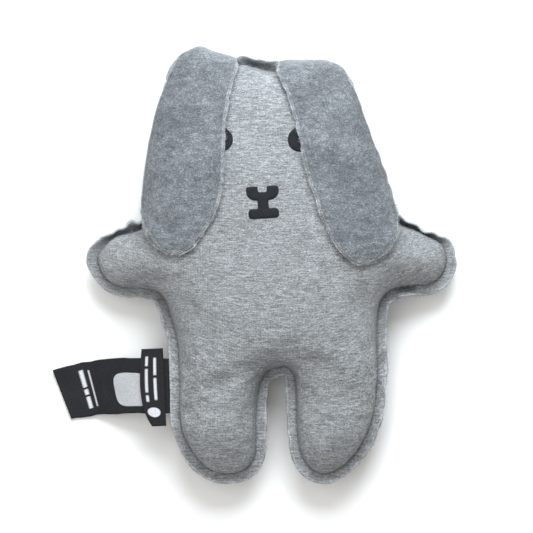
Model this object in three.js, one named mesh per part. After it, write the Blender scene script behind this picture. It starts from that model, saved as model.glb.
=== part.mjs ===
// Stuffed bunny rabbit, lying on its back. Two body panels are sewn together with the seam allowance
// left outside and are filled with loose fibre. Each ear is two layers of cloth, caught in the head seam
// and folded forward over the face. Eyes and nose are flock patches, and two woven labels sit in the
// side seam. Millimetres: +X right as seen from the front, +Y to the head, +Z up out of the front. The
// origin is on the flat patch of the back.
import * as THREE from "three";

// ---- Driving dimensions ----
const FIGURE_WIDTH = 175; // across the arms, seam to seam
const FIGURE_LENGTH = 208; // head seam to foot seam
const SEAM_HEIGHT = 18; // seam above the table at the chest and head
const ARM_DROOP = 6.5; // how much lower the seam is at the hands
const LEG_DROOP = 4; // and at the feet
const FILL_STEEPNESS = 1.3; // how fast the panels rise from the seam
const FILL_LIMIT = 30; // rise that the widest places tend to
const CLEAR = 0.3; // gap between pieces that touch
const BODY_CLOTH = 1.2;
const SEAM_ALLOWANCE = 4.6;
const EAR_ALLOWANCE = 2.9; // trimmed where an ear is sewn in
const TAB_STEP = 0.8; // how far a sewn-in end shows past the allowance
const EAR_CLOTH = 1.0;
const EAR_STITCH_INSET = 1.6;
const DRAPE_RADIUS = 14; // tightest curve that an ear takes over the head
const THREAD = 0.3; // thread radius
const THREAD_FROM_SEAM = 2.3;
const PATCH = 0.5; // flock thickness
const EYE_RADIUS = 6.1;
const LONG_LABEL = 0.9; // thickness
const SHORT_LABEL = 1.2; // thickness, folded double
const SHORT_LABEL_START = 1.6; // from the long label's fold line
const SHORT_LABEL_REACH = 10;
const LABEL_TOUCHDOWN = 44; // from its fold line to where the long label lies on the table

// ---- Mesh fineness ----
const RING_STEPS = 150;
const RINGS_INSIDE = [2, 6]; // distances inside the seam
const GRID_STEP = 9;
const EAR_COLUMNS = 6;
const EAR_ROWS = 15;
const HOOK_ROWS = 6;

// ---- Outlines, drawn for a figure of this width and length ----
const DRAWN_WIDTH = 175;
const DRAWN_LENGTH = 208;

// Where the ears and labels are sewn in, each from one end of the sewn edge to the other with the
// outside of the figure on its left.
const EAR_ROOTS = {
  left: [[-42.5, 116], [-19.5, 110.4]],
  right: [[3, 109], [29.5, 109]],
};
const LABEL_ROOT = [[-45.8, -68.5], [-47.6, -28]];

// The seam line, anticlockwise from the crotch.
const SEAM_POINTS = [
  [1, -39.3], [7, -38.6], [10.6, -43.5],
  // right leg
  [11.5, -55], [11.7, -68], [13.5, -80], [18, -88.5], [25.5, -92], [34, -88.5], [42, -80], [48, -68],
  // right side and armpit
  [51, -55], [52.3, -42], [52, -28], [52.2, -15], [54.2, -5], [59.5, 0.2],
  // right arm
  [69, 2], [79, 3.2], [85, 8.5], [87, 16.5], [84.5, 23], [78, 26.8], [70.5, 30.8], [62, 33.8],
  // right of the head
  [57, 39], [53, 48], [50, 57.5], [46.2, 67], [42.3, 77], [39.3, 87], [36.8, 96.5], [34.2, 104],
  // top of the head, under the ears
  [29.5, 109], [16, 109], [3, 109], [-8, 109], [-19.5, 110.4], [-31, 113.2], [-42.5, 116],
  // left of the head
  [-47.5, 110.5], [-49.5, 100], [-52.6, 88], [-55.6, 76], [-57.6, 63], [-58.9, 50], [-60, 39.5],
  // left arm
  [-64.5, 31.5], [-71.5, 28.8], [-78, 27.2], [-84, 22.5], [-88, 17], [-86.5, 10], [-82, 4.2], [-74.5, 1.2],
  [-66, 0.8],
  // left armpit and side
  [-58.5, -0.6], [-53.8, -5.5], [-51.2, -14], [-48.6, -22], [-47.6, -28], [-46.7, -48], [-45.8, -68.5],
  // left leg
  [-42.5, -76.5], [-37.5, -84.5], [-31, -90], [-23, -92], [-14.5, -90], [-9.3, -84], [-8.3, -74],
  [-8.2, -62], [-7, -49.5], [-4, -42],
];

// The free edges of each ear, from the fold to the tip: the left edge and the right edge.
const EAR_EDGES = {
  left: [
    [
      [-48.4, 113.2], [-53.4, 102.3], [-58.5, 87], [-62.5, 67.5], [-64.5, 49.5], [-64.2, 33], [-60.2, 25],
      [-54.8, 19.7], [-50, 17.9],
    ],
    [
      [-19.6, 106.5], [-21.6, 99], [-24, 84], [-25, 66], [-26, 50], [-29.5, 37.5], [-35, 28.5],
      [-41, 21], [-47.4, 17.9],
    ],
  ],
  right: [
    [[3.8, 105.5], [8, 96], [12, 82], [17, 60], [21.5, 45], [27, 30.5], [33, 20.3], [38.5, 14.9], [43.6, 13]],
    [
      [36.6, 106.8], [41.8, 96.2], [46.2, 83.5], [52.3, 67], [58, 51], [61.8, 36], [60.8, 25.5],
      [55.5, 17.5], [46.4, 13],
    ],
  ],
};

// The long label's upper and lower edges from its fold line, and the short label's width.
const LONG_LABEL_EDGES = [
  [[-53.2, -34.2], [-75, -34], [-95, -36.5], [-111.5, -40.3]],
  [[-52.2, -61.6], [-70, -62], [-88, -63], [-101.5, -65]],
];
const SHORT_LABEL_ENDS = [[-53.4, -29], [-51.8, -67.8]];

const EYES = { left: [-26, 74.6], right: [13.3, 74.6] };
const NOSE = {
  centre: [-5, 44], turn: 0.06,
  barHalf: 7.6, barBottom: -8.6, barTop: -3.6, barCorner: 1.9,
  stemHalf: 2.7,
  lobeHalf: 8.1, lobeBottom: 0.5, lobeTop: 7.5, lobeCorner: 4.6, lobeTopCorner: 1.2,
  notchHalf: 2.4, notchBottom: 4.6, notchCorner: 1,
};

const MATERIALS = {
  jersey: { color: "#a3aab0", roughness: 0.95 },
  velour: { color: "#858e98", roughness: 0.98 },
  lining: { color: "#8d959c", roughness: 0.96 },
  fibre: { color: "#eeeeea", roughness: 1 },
  thread: { color: "#8f979f", roughness: 0.8 },
  flock: { color: "#33373b", roughness: 0.95 },
  label: { color: "#17181b", roughness: 0.7 },
};

const group = new THREE.Group();

function addPiece(name, geometry, material) {
  const looks = new THREE.MeshStandardMaterial({ ...MATERIALS[material], metalness: 0 });
  const mesh = new THREE.Mesh(geometry, looks);
  mesh.name = name;
  group.add(mesh);
}

const drawn = ([x, y]) =>
  new THREE.Vector2((x * FIGURE_WIDTH) / DRAWN_WIDTH, (y * FIGURE_LENGTH) / DRAWN_LENGTH);
const lifted = (p, z) => new THREE.Vector3(p.x, p.y, z);
const fade = (distance, reach) => 1 - THREE.MathUtils.smoothstep(distance, 0, reach);

// ---- Flat layout tools ----

function smoothLine(points, closed = false) {
  const curve = new THREE.CatmullRomCurve3(points.map((p) => lifted(p, 0)), closed, "centripetal");
  curve.arcLengthDivisions = 2000;
  return curve;
}

function isInside(p, outline) {
  let inside = false;
  for (let i = 0, j = outline.length - 1; i < outline.length; j = i++) {
    const a = outline[i];
    const b = outline[j];
    if (a.y > p.y !== b.y > p.y && p.x < ((b.x - a.x) * (p.y - a.y)) / (b.y - a.y) + a.x) inside = !inside;
  }
  return inside;
}

function distanceToOutline(p, outline) {
  let nearest = Infinity;
  outline.forEach((a, i) => {
    const b = outline[(i + 1) % outline.length];
    const along = b.clone().sub(a);
    const t = THREE.MathUtils.clamp(p.clone().sub(a).dot(along) / along.lengthSq(), 0, 1);
    nearest = Math.min(nearest, p.distanceTo(a.clone().addScaledVector(along, t)));
  });
  return nearest;
}

// Points on a triangular grid, inside the outline and at least margin from it.
function gridPoints(outline, step, margin) {
  const box = new THREE.Box2().setFromPoints(outline);
  const points = [];
  const rowStep = (step * Math.sqrt(3)) / 2;
  for (let row = 0, y = box.min.y; y < box.max.y; row += 1, y += rowStep) {
    for (let x = box.min.x + ((row % 2) * step) / 2; x < box.max.x; x += step) {
      const p = new THREE.Vector2(x, y);
      if (isInside(p, outline) && distanceToOutline(p, outline) > margin) points.push(p);
    }
  }
  return points;
}

// Delaunay triangles of the points, anticlockwise, kept where they lie inside the outline. The tiny
// nudges keep four points off one circle.
function triangulate(points, outline) {
  const size = 1e4;
  const spots = points.map((p, i) => [p.x + 1e-5 * Math.sin(i * 12.9), p.y + 1e-5 * Math.cos(i * 78.2)]);
  const count = spots.length;
  spots.push([-size, -size], [size, -size], [0, size]);
  const circled = (a, b, c) => {
    const [ax, ay] = spots[a];
    const [bx, by] = [spots[b][0] - ax, spots[b][1] - ay];
    const [cx, cy] = [spots[c][0] - ax, spots[c][1] - ay];
    const d = 2 * (bx * cy - by * cx);
    const ux = (cy * (bx * bx + by * by) - by * (cx * cx + cy * cy)) / d;
    const uy = (bx * (cx * cx + cy * cy) - cx * (bx * bx + by * by)) / d;
    return { corners: [a, b, c], x: ax + ux, y: ay + uy, r2: ux * ux + uy * uy };
  };
  let triangles = [circled(count, count + 1, count + 2)];
  for (let i = 0; i < count; i += 1) {
    const [x, y] = spots[i];
    const edges = new Map();
    const kept = [];
    for (const triangle of triangles) {
      if ((x - triangle.x) ** 2 + (y - triangle.y) ** 2 >= triangle.r2) {
        kept.push(triangle);
        continue;
      }
      const [a, b, c] = triangle.corners;
      for (const [from, to] of [[a, b], [b, c], [c, a]]) {
        if (!edges.delete(`${to},${from}`)) edges.set(`${from},${to}`, [from, to]);
      }
    }
    triangles = kept;
    for (const [from, to] of edges.values()) triangles.push(circled(from, to, i));
  }
  return triangles
    .map((triangle) => triangle.corners)
    .filter((corners) => {
      if (corners.some((corner) => corner >= count)) return false;
      const middle = new THREE.Vector2();
      corners.forEach((corner) => middle.addScaledVector(points[corner], 1 / 3));
      return isInside(middle, outline);
    });
}

// ---- Solid tools ----

function geometryFrom(vertices, triangles) {
  const geometry = new THREE.BufferGeometry().setFromPoints(vertices);
  geometry.setIndex(triangles.flat());
  geometry.computeVertexNormals();
  return geometry;
}

function vertexNormals(vertices, triangles) {
  const normals = geometryFrom(vertices, triangles).getAttribute("normal");
  return vertices.map((_, i) => new THREE.Vector3().fromBufferAttribute(normals, i));
}

// One closed body between two surfaces that share their triangles, walled round every open edge.
function shell(under, over, triangles) {
  const count = under.length;
  const faces = [];
  const edges = new Set();
  for (const [a, b, c] of triangles) {
    faces.push([count + a, count + b, count + c], [a, c, b]);
    for (const [from, to] of [[a, b], [b, c], [c, a]]) edges.add(`${from},${to}`);
  }
  for (const edge of edges) {
    const [from, to] = edge.split(",").map(Number);
    if (edges.has(`${to},${from}`)) continue;
    faces.push([from, to, count + to], [from, count + to, count + from]);
  }
  return geometryFrom([...under, ...over], faces);
}

function offset(vertices, normals, distance) {
  return vertices.map((vertex, i) => vertex.clone().addScaledVector(normals[i], distance));
}

// A thread through the points, with its two ends a stitch apart if the run comes round on itself.
function threadAlong(points, steps) {
  const section = new THREE.Shape();
  section.absarc(0, 0, THREAD, 0, Math.PI * 2);
  const path = new THREE.CatmullRomCurve3(points, false, "centripetal");
  const settings = { steps, extrudePath: path, curveSegments: 2, bevelEnabled: false };
  return new THREE.ExtrudeGeometry(section, settings);
}

// A sheet on a grid of points, filling from one height to another along its normals.
function gridSheet(rows, from, to) {
  const columns = rows[0].length;
  const vertices = rows.flat();
  const triangles = [];
  for (let i = 0; i + 1 < rows.length; i += 1) {
    for (let j = 0; j + 1 < columns; j += 1) {
      const a = i * columns + j;
      const b = a + columns;
      triangles.push([a, b, b + 1], [a, b + 1, a + 1]);
    }
  }
  const normals = vertexNormals(vertices, triangles);
  return shell(offset(vertices, normals, from), offset(vertices, normals, to), triangles);
}

// ---- Sewn-in edges ----

// A straight sewn edge: its direction, the outward direction, and the distances beyond the seam line of
// the allowance's edge, the sewn-in end's edge and the fold line of the free piece.
function sewnEdge([from, to], allowance, thickness) {
  const start = drawn(from);
  const along = drawn(to).sub(start);
  const length = along.length();
  along.normalize();
  const tabEdge = allowance + TAB_STEP;
  const foldLine = tabEdge + CLEAR + thickness / 2;
  const outward = new THREE.Vector2(-along.y, along.x);
  return { start, along, outward, length, allowance, thickness, tabEdge, foldLine };
}

const EAR_THICKNESS = 2 * EAR_CLOTH + CLEAR;
const earEdges = {
  left: sewnEdge(EAR_ROOTS.left, EAR_ALLOWANCE, EAR_THICKNESS),
  right: sewnEdge(EAR_ROOTS.right, EAR_ALLOWANCE, EAR_THICKNESS),
};
const labelEdge = sewnEdge(LABEL_ROOT, SEAM_ALLOWANCE, LONG_LABEL);
const sewnEdges = [earEdges.left, earEdges.right, labelEdge];

function edgePoint(edge, along, out) {
  return edge.start.clone().addScaledVector(edge.along, along).addScaledVector(edge.outward, out);
}

// 1 beside a sewn edge, down to 0 a little way from it.
function nearness(edge, p) {
  const off = p.clone().sub(edge.start);
  const along = off.dot(edge.along);
  const past = Math.max(0, -along, along - edge.length);
  return fade(past, 9) * fade(Math.max(0, Math.abs(off.dot(edge.outward)) - edge.tabEdge), 9);
}

// Half the space between the two panels' cloth at the seam.
function halfGap(p) {
  return sewnEdges.reduce(
    (gap, edge) => gap + nearness(edge, p) * ((edge.thickness + CLEAR) / 2),
    CLEAR / 2,
  );
}

function allowanceAt(p) {
  return sewnEdges.reduce(
    (width, edge) => THREE.MathUtils.lerp(width, edge.allowance, nearness(edge, p)),
    SEAM_ALLOWANCE,
  );
}

// Height of the seam's middle plane: the arms and legs sink towards the table.
function seamPlane(p) {
  const arm = THREE.MathUtils.smoothstep(Math.abs(p.x), FIGURE_WIDTH * 0.29, FIGURE_WIDTH * 0.52);
  const leg = THREE.MathUtils.smoothstep(-p.y, FIGURE_LENGTH * 0.33, FIGURE_LENGTH * 0.5);
  return SEAM_HEIGHT - ARM_DROOP * arm - LEG_DROOP * leg;
}

// ---- Body panels and filling ----

const seam = smoothLine(SEAM_POINTS.map(drawn), true)
  .getSpacedPoints(RING_STEPS)
  .slice(0, RING_STEPS)
  .map((p) => new THREE.Vector2(p.x, p.y));
const seamOutward = seam.map((_, i) => {
  const ahead = seam[(i + 1) % RING_STEPS];
  const behind = seam[(i + RING_STEPS - 1) % RING_STEPS];
  const along = ahead.clone().sub(behind).normalize();
  return new THREE.Vector2(along.y, -along.x);
});
const besideSeam = (distance) => seam.map((p, i) => p.clone().addScaledVector(seamOutward[i], distance));

function bodyLayout() {
  const allowance = seam.map((p, i) => p.clone().addScaledVector(seamOutward[i], allowanceAt(p)));
  const inside = [...seam];
  for (const depth of RINGS_INSIDE) {
    for (const p of besideSeam(-depth)) {
      const crowded = inside.slice(RING_STEPS).some((q) => q.distanceTo(p) < 0.6 * depth);
      if (!crowded && isInside(p, seam) && distanceToOutline(p, seam) > 0.97 * depth) inside.push(p);
    }
  }
  inside.push(...gridPoints(seam, GRID_STEP, RINGS_INSIDE[1] + 0.5 * GRID_STEP));
  const shifted = (corners) => corners.map((corner) => corner + RING_STEPS);
  const triangles = triangulate(inside, seam).map(shifted);
  for (let i = 0; i < RING_STEPS; i += 1) {
    const next = (i + 1) % RING_STEPS;
    triangles.push([i, next, RING_STEPS + next], [i, RING_STEPS + next, RING_STEPS + i]);
  }
  return { points: [...allowance, ...inside], triangles };
}

// The shape of a pressed-up membrane that is held at the seam, by relaxation over the triangles.
function membrane({ points, triangles }) {
  const links = points.map(() => new Map());
  const areas = points.map(() => 0);
  for (const corners of triangles) {
    corners.forEach((corner, k) => {
      const left = corners[(k + 1) % 3];
      const right = corners[(k + 2) % 3];
      const a = points[left].clone().sub(points[corner]);
      const b = points[right].clone().sub(points[corner]);
      const doubleArea = Math.abs(a.cross(b));
      const weight = a.dot(b) / doubleArea / 2;
      links[left].set(right, (links[left].get(right) ?? 0) + weight);
      links[right].set(left, (links[right].get(left) ?? 0) + weight);
      areas[corner] += doubleArea / 6;
    });
  }
  const held = 2 * RING_STEPS;
  const pressed = points.map(() => 0);
  for (let round = 0; round < 600; round += 1) {
    for (let i = held; i < points.length; i += 1) {
      let pull = areas[i];
      let total = 0;
      for (const [other, weight] of links[i]) {
        pull += weight * pressed[other];
        total += weight;
      }
      pressed[i] += 1.6 * (pull / total - pressed[i]);
    }
  }
  return pressed;
}

const layout = bodyLayout();
const rise = membrane(layout).map(
  (value) => FILL_LIMIT * (1 - Math.exp((-FILL_STEEPNESS * Math.sqrt(Math.max(value, 0))) / FILL_LIMIT)),
);
const upTriangles = layout.triangles;
const downTriangles = upTriangles.map(([a, b, c]) => [a, c, b]);

const frontInner = layout.points.map((p, i) => lifted(p, seamPlane(p) + halfGap(p) + rise[i]));
const backInner = layout.points.map((p, i) =>
  lifted(p, Math.max(BODY_CLOTH, seamPlane(p) - halfGap(p) - rise[i])),
);
const frontNormals = vertexNormals(frontInner, upTriangles);
const backNormals = vertexNormals(backInner, downTriangles);
const frontOuter = offset(frontInner, frontNormals, BODY_CLOTH);
const backOuter = offset(backInner, backNormals, BODY_CLOTH);

addPiece("front_body_panel", shell(frontInner, frontOuter, upTriangles), "jersey");
addPiece("back_body_panel", shell(backOuter, backInner, upTriangles), "jersey");

// The filling keeps the triangles that lie within the first ring inside the seam.
const firstInside = 2 * RING_STEPS;
const fillTriangles = upTriangles
  .filter((corners) => corners.every((corner) => corner >= firstInside))
  .map((corners) => corners.map((corner) => corner - firstInside));
addPiece(
  "fibre_filling",
  shell(
    offset(backInner, backNormals, -CLEAR).slice(firstInside),
    offset(frontInner, frontNormals, -CLEAR).slice(firstInside),
    fillTriangles,
  ),
  "fibre",
);

// Seam threads on both faces of the allowance.
function seamThread(side) {
  const away = CLEAR / 2 + THREAD + BODY_CLOTH;
  const height = (p) => seamPlane(p) + side * (halfGap(p) + away);
  const points = besideSeam(THREAD_FROM_SEAM).map((p) => lifted(p, height(p)));
  return threadAlong(points, RING_STEPS);
}
addPiece("seam_needle_thread", seamThread(1), "thread");
addPiece("seam_bobbin_thread", seamThread(-1), "thread");

// ---- What lies on the front ----

// The front's height on a square grid, and the same surface with its tight curves bridged over, as a
// thick cloth lies on it.
const CELL = 2;
const FIELD_REACH = 8;
const fieldBox = new THREE.Box2().setFromPoints(layout.points).expandByScalar(FIELD_REACH);
const fieldColumns = Math.ceil((fieldBox.max.x - fieldBox.min.x) / CELL) + 1;
const fieldRows = Math.ceil((fieldBox.max.y - fieldBox.min.y) / CELL) + 1;

function frontField() {
  const field = new Float64Array(fieldColumns * fieldRows);
  const flat = (v) => new THREE.Vector3(v.x, v.y, 0);
  for (const corners of upTriangles) {
    const heights = corners.map((corner) => frontOuter[corner].z);
    const triangle = new THREE.Triangle(...corners.map((corner) => flat(frontOuter[corner])));
    const box = new THREE.Box3().setFromPoints([triangle.a, triangle.b, triangle.c]);
    const low = (value, start) => Math.ceil((value - start) / CELL);
    for (let j = low(box.min.y, fieldBox.min.y); fieldBox.min.y + j * CELL <= box.max.y; j += 1) {
      for (let i = low(box.min.x, fieldBox.min.x); fieldBox.min.x + i * CELL <= box.max.x; i += 1) {
        const p = new THREE.Vector3(fieldBox.min.x + i * CELL, fieldBox.min.y + j * CELL, 0);
        if (!triangle.containsPoint(p)) continue;
        const share = triangle.getBarycoord(p, new THREE.Vector3());
        const z = share.x * heights[0] + share.y * heights[1] + share.z * heights[2];
        field[j * fieldColumns + i] = Math.max(field[j * fieldColumns + i], z);
      }
    }
  }
  return field;
}

function bridged(field, radius) {
  const reach = 6;
  return field.map((own, index) => {
    const i = index % fieldColumns;
    const j = Math.floor(index / fieldColumns);
    let top = own;
    for (let dj = -reach; dj <= reach; dj += 1) {
      for (let di = -reach; di <= reach; di += 1) {
        if (i + di < 0 || i + di >= fieldColumns || j + dj < 0 || j + dj >= fieldRows) continue;
        const drop = ((di * di + dj * dj) * CELL * CELL) / (2 * radius);
        top = Math.max(top, field[(j + dj) * fieldColumns + i + di] - drop);
      }
    }
    return top;
  });
}

const frontHeights = frontField();
const drapeHeights = bridged(frontHeights, DRAPE_RADIUS);

function heightAt(field, p) {
  const x = (p.x - fieldBox.min.x) / CELL;
  const y = (p.y - fieldBox.min.y) / CELL;
  const i = Math.floor(x);
  const j = Math.floor(y);
  const at = (di, dj) => field[(j + dj) * fieldColumns + i + di];
  const low = THREE.MathUtils.lerp(at(0, 0), at(1, 0), x - i);
  const high = THREE.MathUtils.lerp(at(0, 1), at(1, 1), x - i);
  return THREE.MathUtils.lerp(low, high, y - j);
}

// ---- Eyes and nose ----

function flockPatch(outline) {
  const points = [...outline, ...gridPoints(outline, 3.5, 1.2)];
  const triangles = triangulate(points, outline);
  const under = points.map((p) => lifted(p, heightAt(frontHeights, p) + CLEAR));
  const over = under.map((v) => new THREE.Vector3(v.x, v.y, v.z + PATCH));
  return shell(under, over, triangles);
}

function eyeOutline(centre) {
  const middle = drawn(centre);
  const circle = new THREE.EllipseCurve(middle.x, middle.y, EYE_RADIUS, EYE_RADIUS);
  return circle.getPoints(20).slice(0, 20);
}

// A bar, a short stem and two lobes with a notch between them, in one piece.
function noseOutline() {
  const quarter = Math.PI / 2;
  const lowerCorner = (x, y, r) => new THREE.EllipseCurve(x - r, y + r, r, r, -quarter, 0).getPoints(3);
  const upperCorner = (x, y, r) => new THREE.EllipseCurve(x - r, y - r, r, r, 0, quarter).getPoints(3);
  const right = [
    ...lowerCorner(NOSE.barHalf, NOSE.barBottom, NOSE.barCorner),
    ...upperCorner(NOSE.barHalf, NOSE.barTop, NOSE.barCorner),
    new THREE.Vector2(NOSE.stemHalf, NOSE.barTop),
    new THREE.Vector2(NOSE.stemHalf, NOSE.lobeBottom),
    ...lowerCorner(NOSE.lobeHalf, NOSE.lobeBottom, NOSE.lobeCorner),
    ...upperCorner(NOSE.lobeHalf, NOSE.lobeTop, NOSE.lobeTopCorner),
    new THREE.Vector2(NOSE.notchHalf, NOSE.lobeTop),
    new THREE.Vector2(NOSE.notchHalf, NOSE.notchBottom + NOSE.notchCorner),
    new THREE.Vector2(NOSE.notchHalf - NOSE.notchCorner, NOSE.notchBottom),
  ];
  const left = right.map((p) => new THREE.Vector2(-p.x, p.y)).reverse();
  const middle = drawn(NOSE.centre);
  return [...right, ...left].map((p) => p.rotateAround(new THREE.Vector2(), NOSE.turn).add(middle));
}

addPiece("eye_left", flockPatch(eyeOutline(EYES.left)), "flock");
addPiece("eye_right", flockPatch(eyeOutline(EYES.right)), "flock");
addPiece("nose_mouth_patch", flockPatch(noseOutline()), "flock");

// ---- Ears ----

// The ear's middle surface as rows of points from its sewn edge to its tip. It stands up from the fold
// line, turns over the edge of the head and lies on the face.
function earRows(edge, [leftEdge, rightEdge]) {
  const lift = CLEAR + PATCH + 2 * CLEAR + EAR_THICKNESS / 2;
  const left = smoothLine(leftEdge.map(drawn));
  const right = smoothLine(rightEdge.map(drawn));
  const lying = [];
  for (let i = 0; i <= EAR_ROWS; i += 1) {
    const from = left.getPointAt(i / EAR_ROWS);
    const to = right.getPointAt(i / EAR_ROWS);
    const row = [];
    for (let j = 0; j <= EAR_COLUMNS; j += 1) {
      const p = from.clone().lerp(to, j / EAR_COLUMNS);
      row.push(lifted(p, heightAt(drapeHeights, p) + lift));
    }
    lying.push(row);
  }
  const hook = [];
  for (let i = 0; i < HOOK_ROWS; i += 1) {
    hook.push(
      lying[0].map((end, j) => {
        const root = edgePoint(edge, (edge.length * j) / EAR_COLUMNS, edge.foldLine);
        const start = lifted(root, seamPlane(root));
        const onward = lying[1][j].clone().sub(end).normalize();
        const rise = new THREE.Vector3(start.x, start.y, THREE.MathUtils.lerp(start.z, end.z, 0.6));
        const over = end.clone().addScaledVector(onward, -5.5);
        return new THREE.CubicBezierCurve3(start, rise, over, end).getPoint(i / HOOK_ROWS);
      }),
    );
  }
  return [...hook, ...lying];
}

function earStitching(rows) {
  const spot = (i, fromEdge) => {
    const row = rows[i];
    const share = (EAR_STITCH_INSET / row[0].distanceTo(row[row.length - 1])) * EAR_COLUMNS;
    const [a, b] = fromEdge > 0 ? [row[0], row[1]] : [row[row.length - 1], row[row.length - 2]];
    const p = a.clone().lerp(b, share);
    const across = row[row.length - 1].clone().sub(row[0]);
    const down = rows[Math.min(i + 1, rows.length - 1)][0].clone().sub(rows[i - 1][0]);
    const up = down.cross(across).normalize();
    return p.addScaledVector(up, EAR_THICKNESS / 2 + CLEAR + THREAD);
  };
  const points = [];
  for (let i = 3; i < rows.length - 1; i += 1) points.push(spot(i, 1));
  for (let i = rows.length - 2; i > 2; i -= 1) points.push(spot(i, -1));
  return threadAlong(points, 48);
}

function sewnTab(edge) {
  const depth = edge.tabEdge - 0.5;
  const box = new THREE.BoxGeometry(edge.length, depth, edge.thickness);
  const middle = edgePoint(edge, edge.length / 2, edge.tabEdge - depth / 2);
  box.rotateZ(Math.atan2(edge.along.y, edge.along.x));
  box.translate(middle.x, middle.y, seamPlane(middle));
  return box;
}

for (const side of ["left", "right"]) {
  const edge = earEdges[side];
  const rows = earRows(edge, EAR_EDGES[side]);
  addPiece(`ear_${side}_seam_tab`, sewnTab(edge), "lining");
  addPiece(`ear_${side}_velour`, gridSheet(rows, CLEAR / 2, EAR_THICKNESS / 2), "velour");
  addPiece(`ear_${side}_lining`, gridSheet(rows, -EAR_THICKNESS / 2, -CLEAR / 2), "lining");
  addPiece(`ear_${side}_topstitching`, earStitching(rows), "thread");
}

// ---- Labels ----

// The long label's middle surface at a point: it leaves the seam level, sinks and lies on the table.
function labelSurface(p) {
  const out = p.clone().sub(labelEdge.start).dot(labelEdge.outward) - labelEdge.foldLine;
  const top = seamPlane(edgePoint(labelEdge, labelEdge.length / 2, 0));
  const low = CLEAR + LONG_LABEL / 2;
  return lifted(p, THREE.MathUtils.lerp(top, low, THREE.MathUtils.smoothstep(out, 0, LABEL_TOUCHDOWN)));
}

function labelRows(upper, lower, rowCount, columnCount) {
  const rows = [];
  for (let i = 0; i <= rowCount; i += 1) {
    const from = upper.getPointAt(i / rowCount);
    const to = lower.getPointAt(i / rowCount);
    const row = [];
    for (let j = 0; j <= columnCount; j += 1) {
      const p = from.clone().lerp(to, j / columnCount);
      row.push(labelSurface(new THREE.Vector2(p.x, p.y)));
    }
    rows.push(row);
  }
  return rows;
}

// Moves an edge's first point onto a line beyond the fold line.
function fromFold(point, distance) {
  const p = drawn(point);
  const out = p.clone().sub(labelEdge.start).dot(labelEdge.outward);
  return p.addScaledVector(labelEdge.outward, labelEdge.foldLine + distance - out);
}

const longEdges = LONG_LABEL_EDGES.map(([root, ...rest]) => {
  return smoothLine([fromFold(root, 0), ...rest.map(drawn)]);
});
addPiece(
  "long_label",
  gridSheet(labelRows(...longEdges, 14, 3), -LONG_LABEL / 2, LONG_LABEL / 2),
  "label",
);

const shortEdges = SHORT_LABEL_ENDS.map(
  (end) =>
    new THREE.LineCurve3(
      lifted(fromFold(end, SHORT_LABEL_START), 0),
      lifted(fromFold(end, SHORT_LABEL_START + SHORT_LABEL_REACH), 0),
    ),
);
const shortUnderside = LONG_LABEL / 2 + CLEAR;
addPiece(
  "short_label",
  gridSheet(labelRows(...shortEdges, 4, 4), shortUnderside, shortUnderside + SHORT_LABEL),
  "label",
);
addPiece("labels_seam_tab", sewnTab(labelEdge), "label");

export default group;
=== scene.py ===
"""The looks of a stuffed bunny rabbit that lies on its back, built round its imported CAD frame.

Lengths in the shape code are millimetres, in the CAD part's axes, and turn into metres where a mesh is made.
"""
import math

import bmesh
import bpy
import numpy as np
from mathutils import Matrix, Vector
from mathutils.bvhtree import BVHTree
from mathutils.geometry import delaunay_2d_cdt


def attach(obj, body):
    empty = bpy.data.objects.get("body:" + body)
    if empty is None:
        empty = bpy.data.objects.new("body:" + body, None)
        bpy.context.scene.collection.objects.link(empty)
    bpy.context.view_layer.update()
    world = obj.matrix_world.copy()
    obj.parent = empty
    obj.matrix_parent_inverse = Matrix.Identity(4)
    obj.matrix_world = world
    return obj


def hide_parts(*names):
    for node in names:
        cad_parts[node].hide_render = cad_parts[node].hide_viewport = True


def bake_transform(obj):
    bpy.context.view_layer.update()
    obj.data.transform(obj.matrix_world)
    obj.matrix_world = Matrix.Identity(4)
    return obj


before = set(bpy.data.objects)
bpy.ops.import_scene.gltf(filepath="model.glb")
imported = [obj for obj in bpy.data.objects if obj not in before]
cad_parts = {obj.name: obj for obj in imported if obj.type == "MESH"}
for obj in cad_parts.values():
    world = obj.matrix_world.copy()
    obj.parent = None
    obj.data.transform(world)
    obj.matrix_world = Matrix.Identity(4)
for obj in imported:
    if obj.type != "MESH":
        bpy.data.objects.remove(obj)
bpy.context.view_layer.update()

MM = 0.001
UP = np.array([0.0, 0.0, 1.0])

# ---- Sizes, in millimetres ----

# As in the CAD part.
FIGURE_WIDTH = 175
FIGURE_LENGTH = 208
SEAM_HEIGHT = 18
ARM_DROOP = 6.5
LEG_DROOP = 4
FILL_STEEPNESS = 1.3
FILL_LIMIT = 30
EAR_ALLOWANCE = 2.9
EAR_TAB = 0.5  # where an ear's sewn-in end starts, outside the seam
EAR_FOLD = 5.15  # the ear's fold line, outside the seam
LABEL_FOLD = 6.15
EAR_CLOTH = 1.0

# The real cloth's, a little looser than the CAD part's plain solids.
SEAM_ALLOWANCE = 4.9
EAR_GAP = 0.25  # between an ear's two layers
DRAPE_RADIUS = 16
FLANGE_CLOTH = 0.9
STITCH_PITCH = 3.3

# The cover's mesh: rings of points at these depths inside the seam, and a grid further in.
RING_DEPTHS = (1.0, 2.3, 4.0, 6.4)
RING_POINT_GAP = 1.2
GRID_STEP = 3.3
GRID_MARGIN = 8.2
FLOOR_GAP = 0.15  # under the flat of the back, before and after its creases are made
LEAST_FLOOR_GAP = 0.1
CLOTH_FRAMES = 20
SWELL_RANGE = (-0.5, 2.4)  # how far the simulation may move a point along its normal
SLIDE_SHARE = 0.6  # how much of its sideways movement is kept, and its limit
SLIDE_LIMIT = 1.2
KNIT_COLUMN = 1.2

# The seam allowance, with its stitches and loose fibres.
FLANGE_FIBRES = 1500
FLANGE_START = -0.22  # where it begins inside the seam, as a share of its width
THREAD_RADIUS = 0.2
FIBRE_RADIUS = 0.055
STITCH_DIP = 0.25

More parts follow.
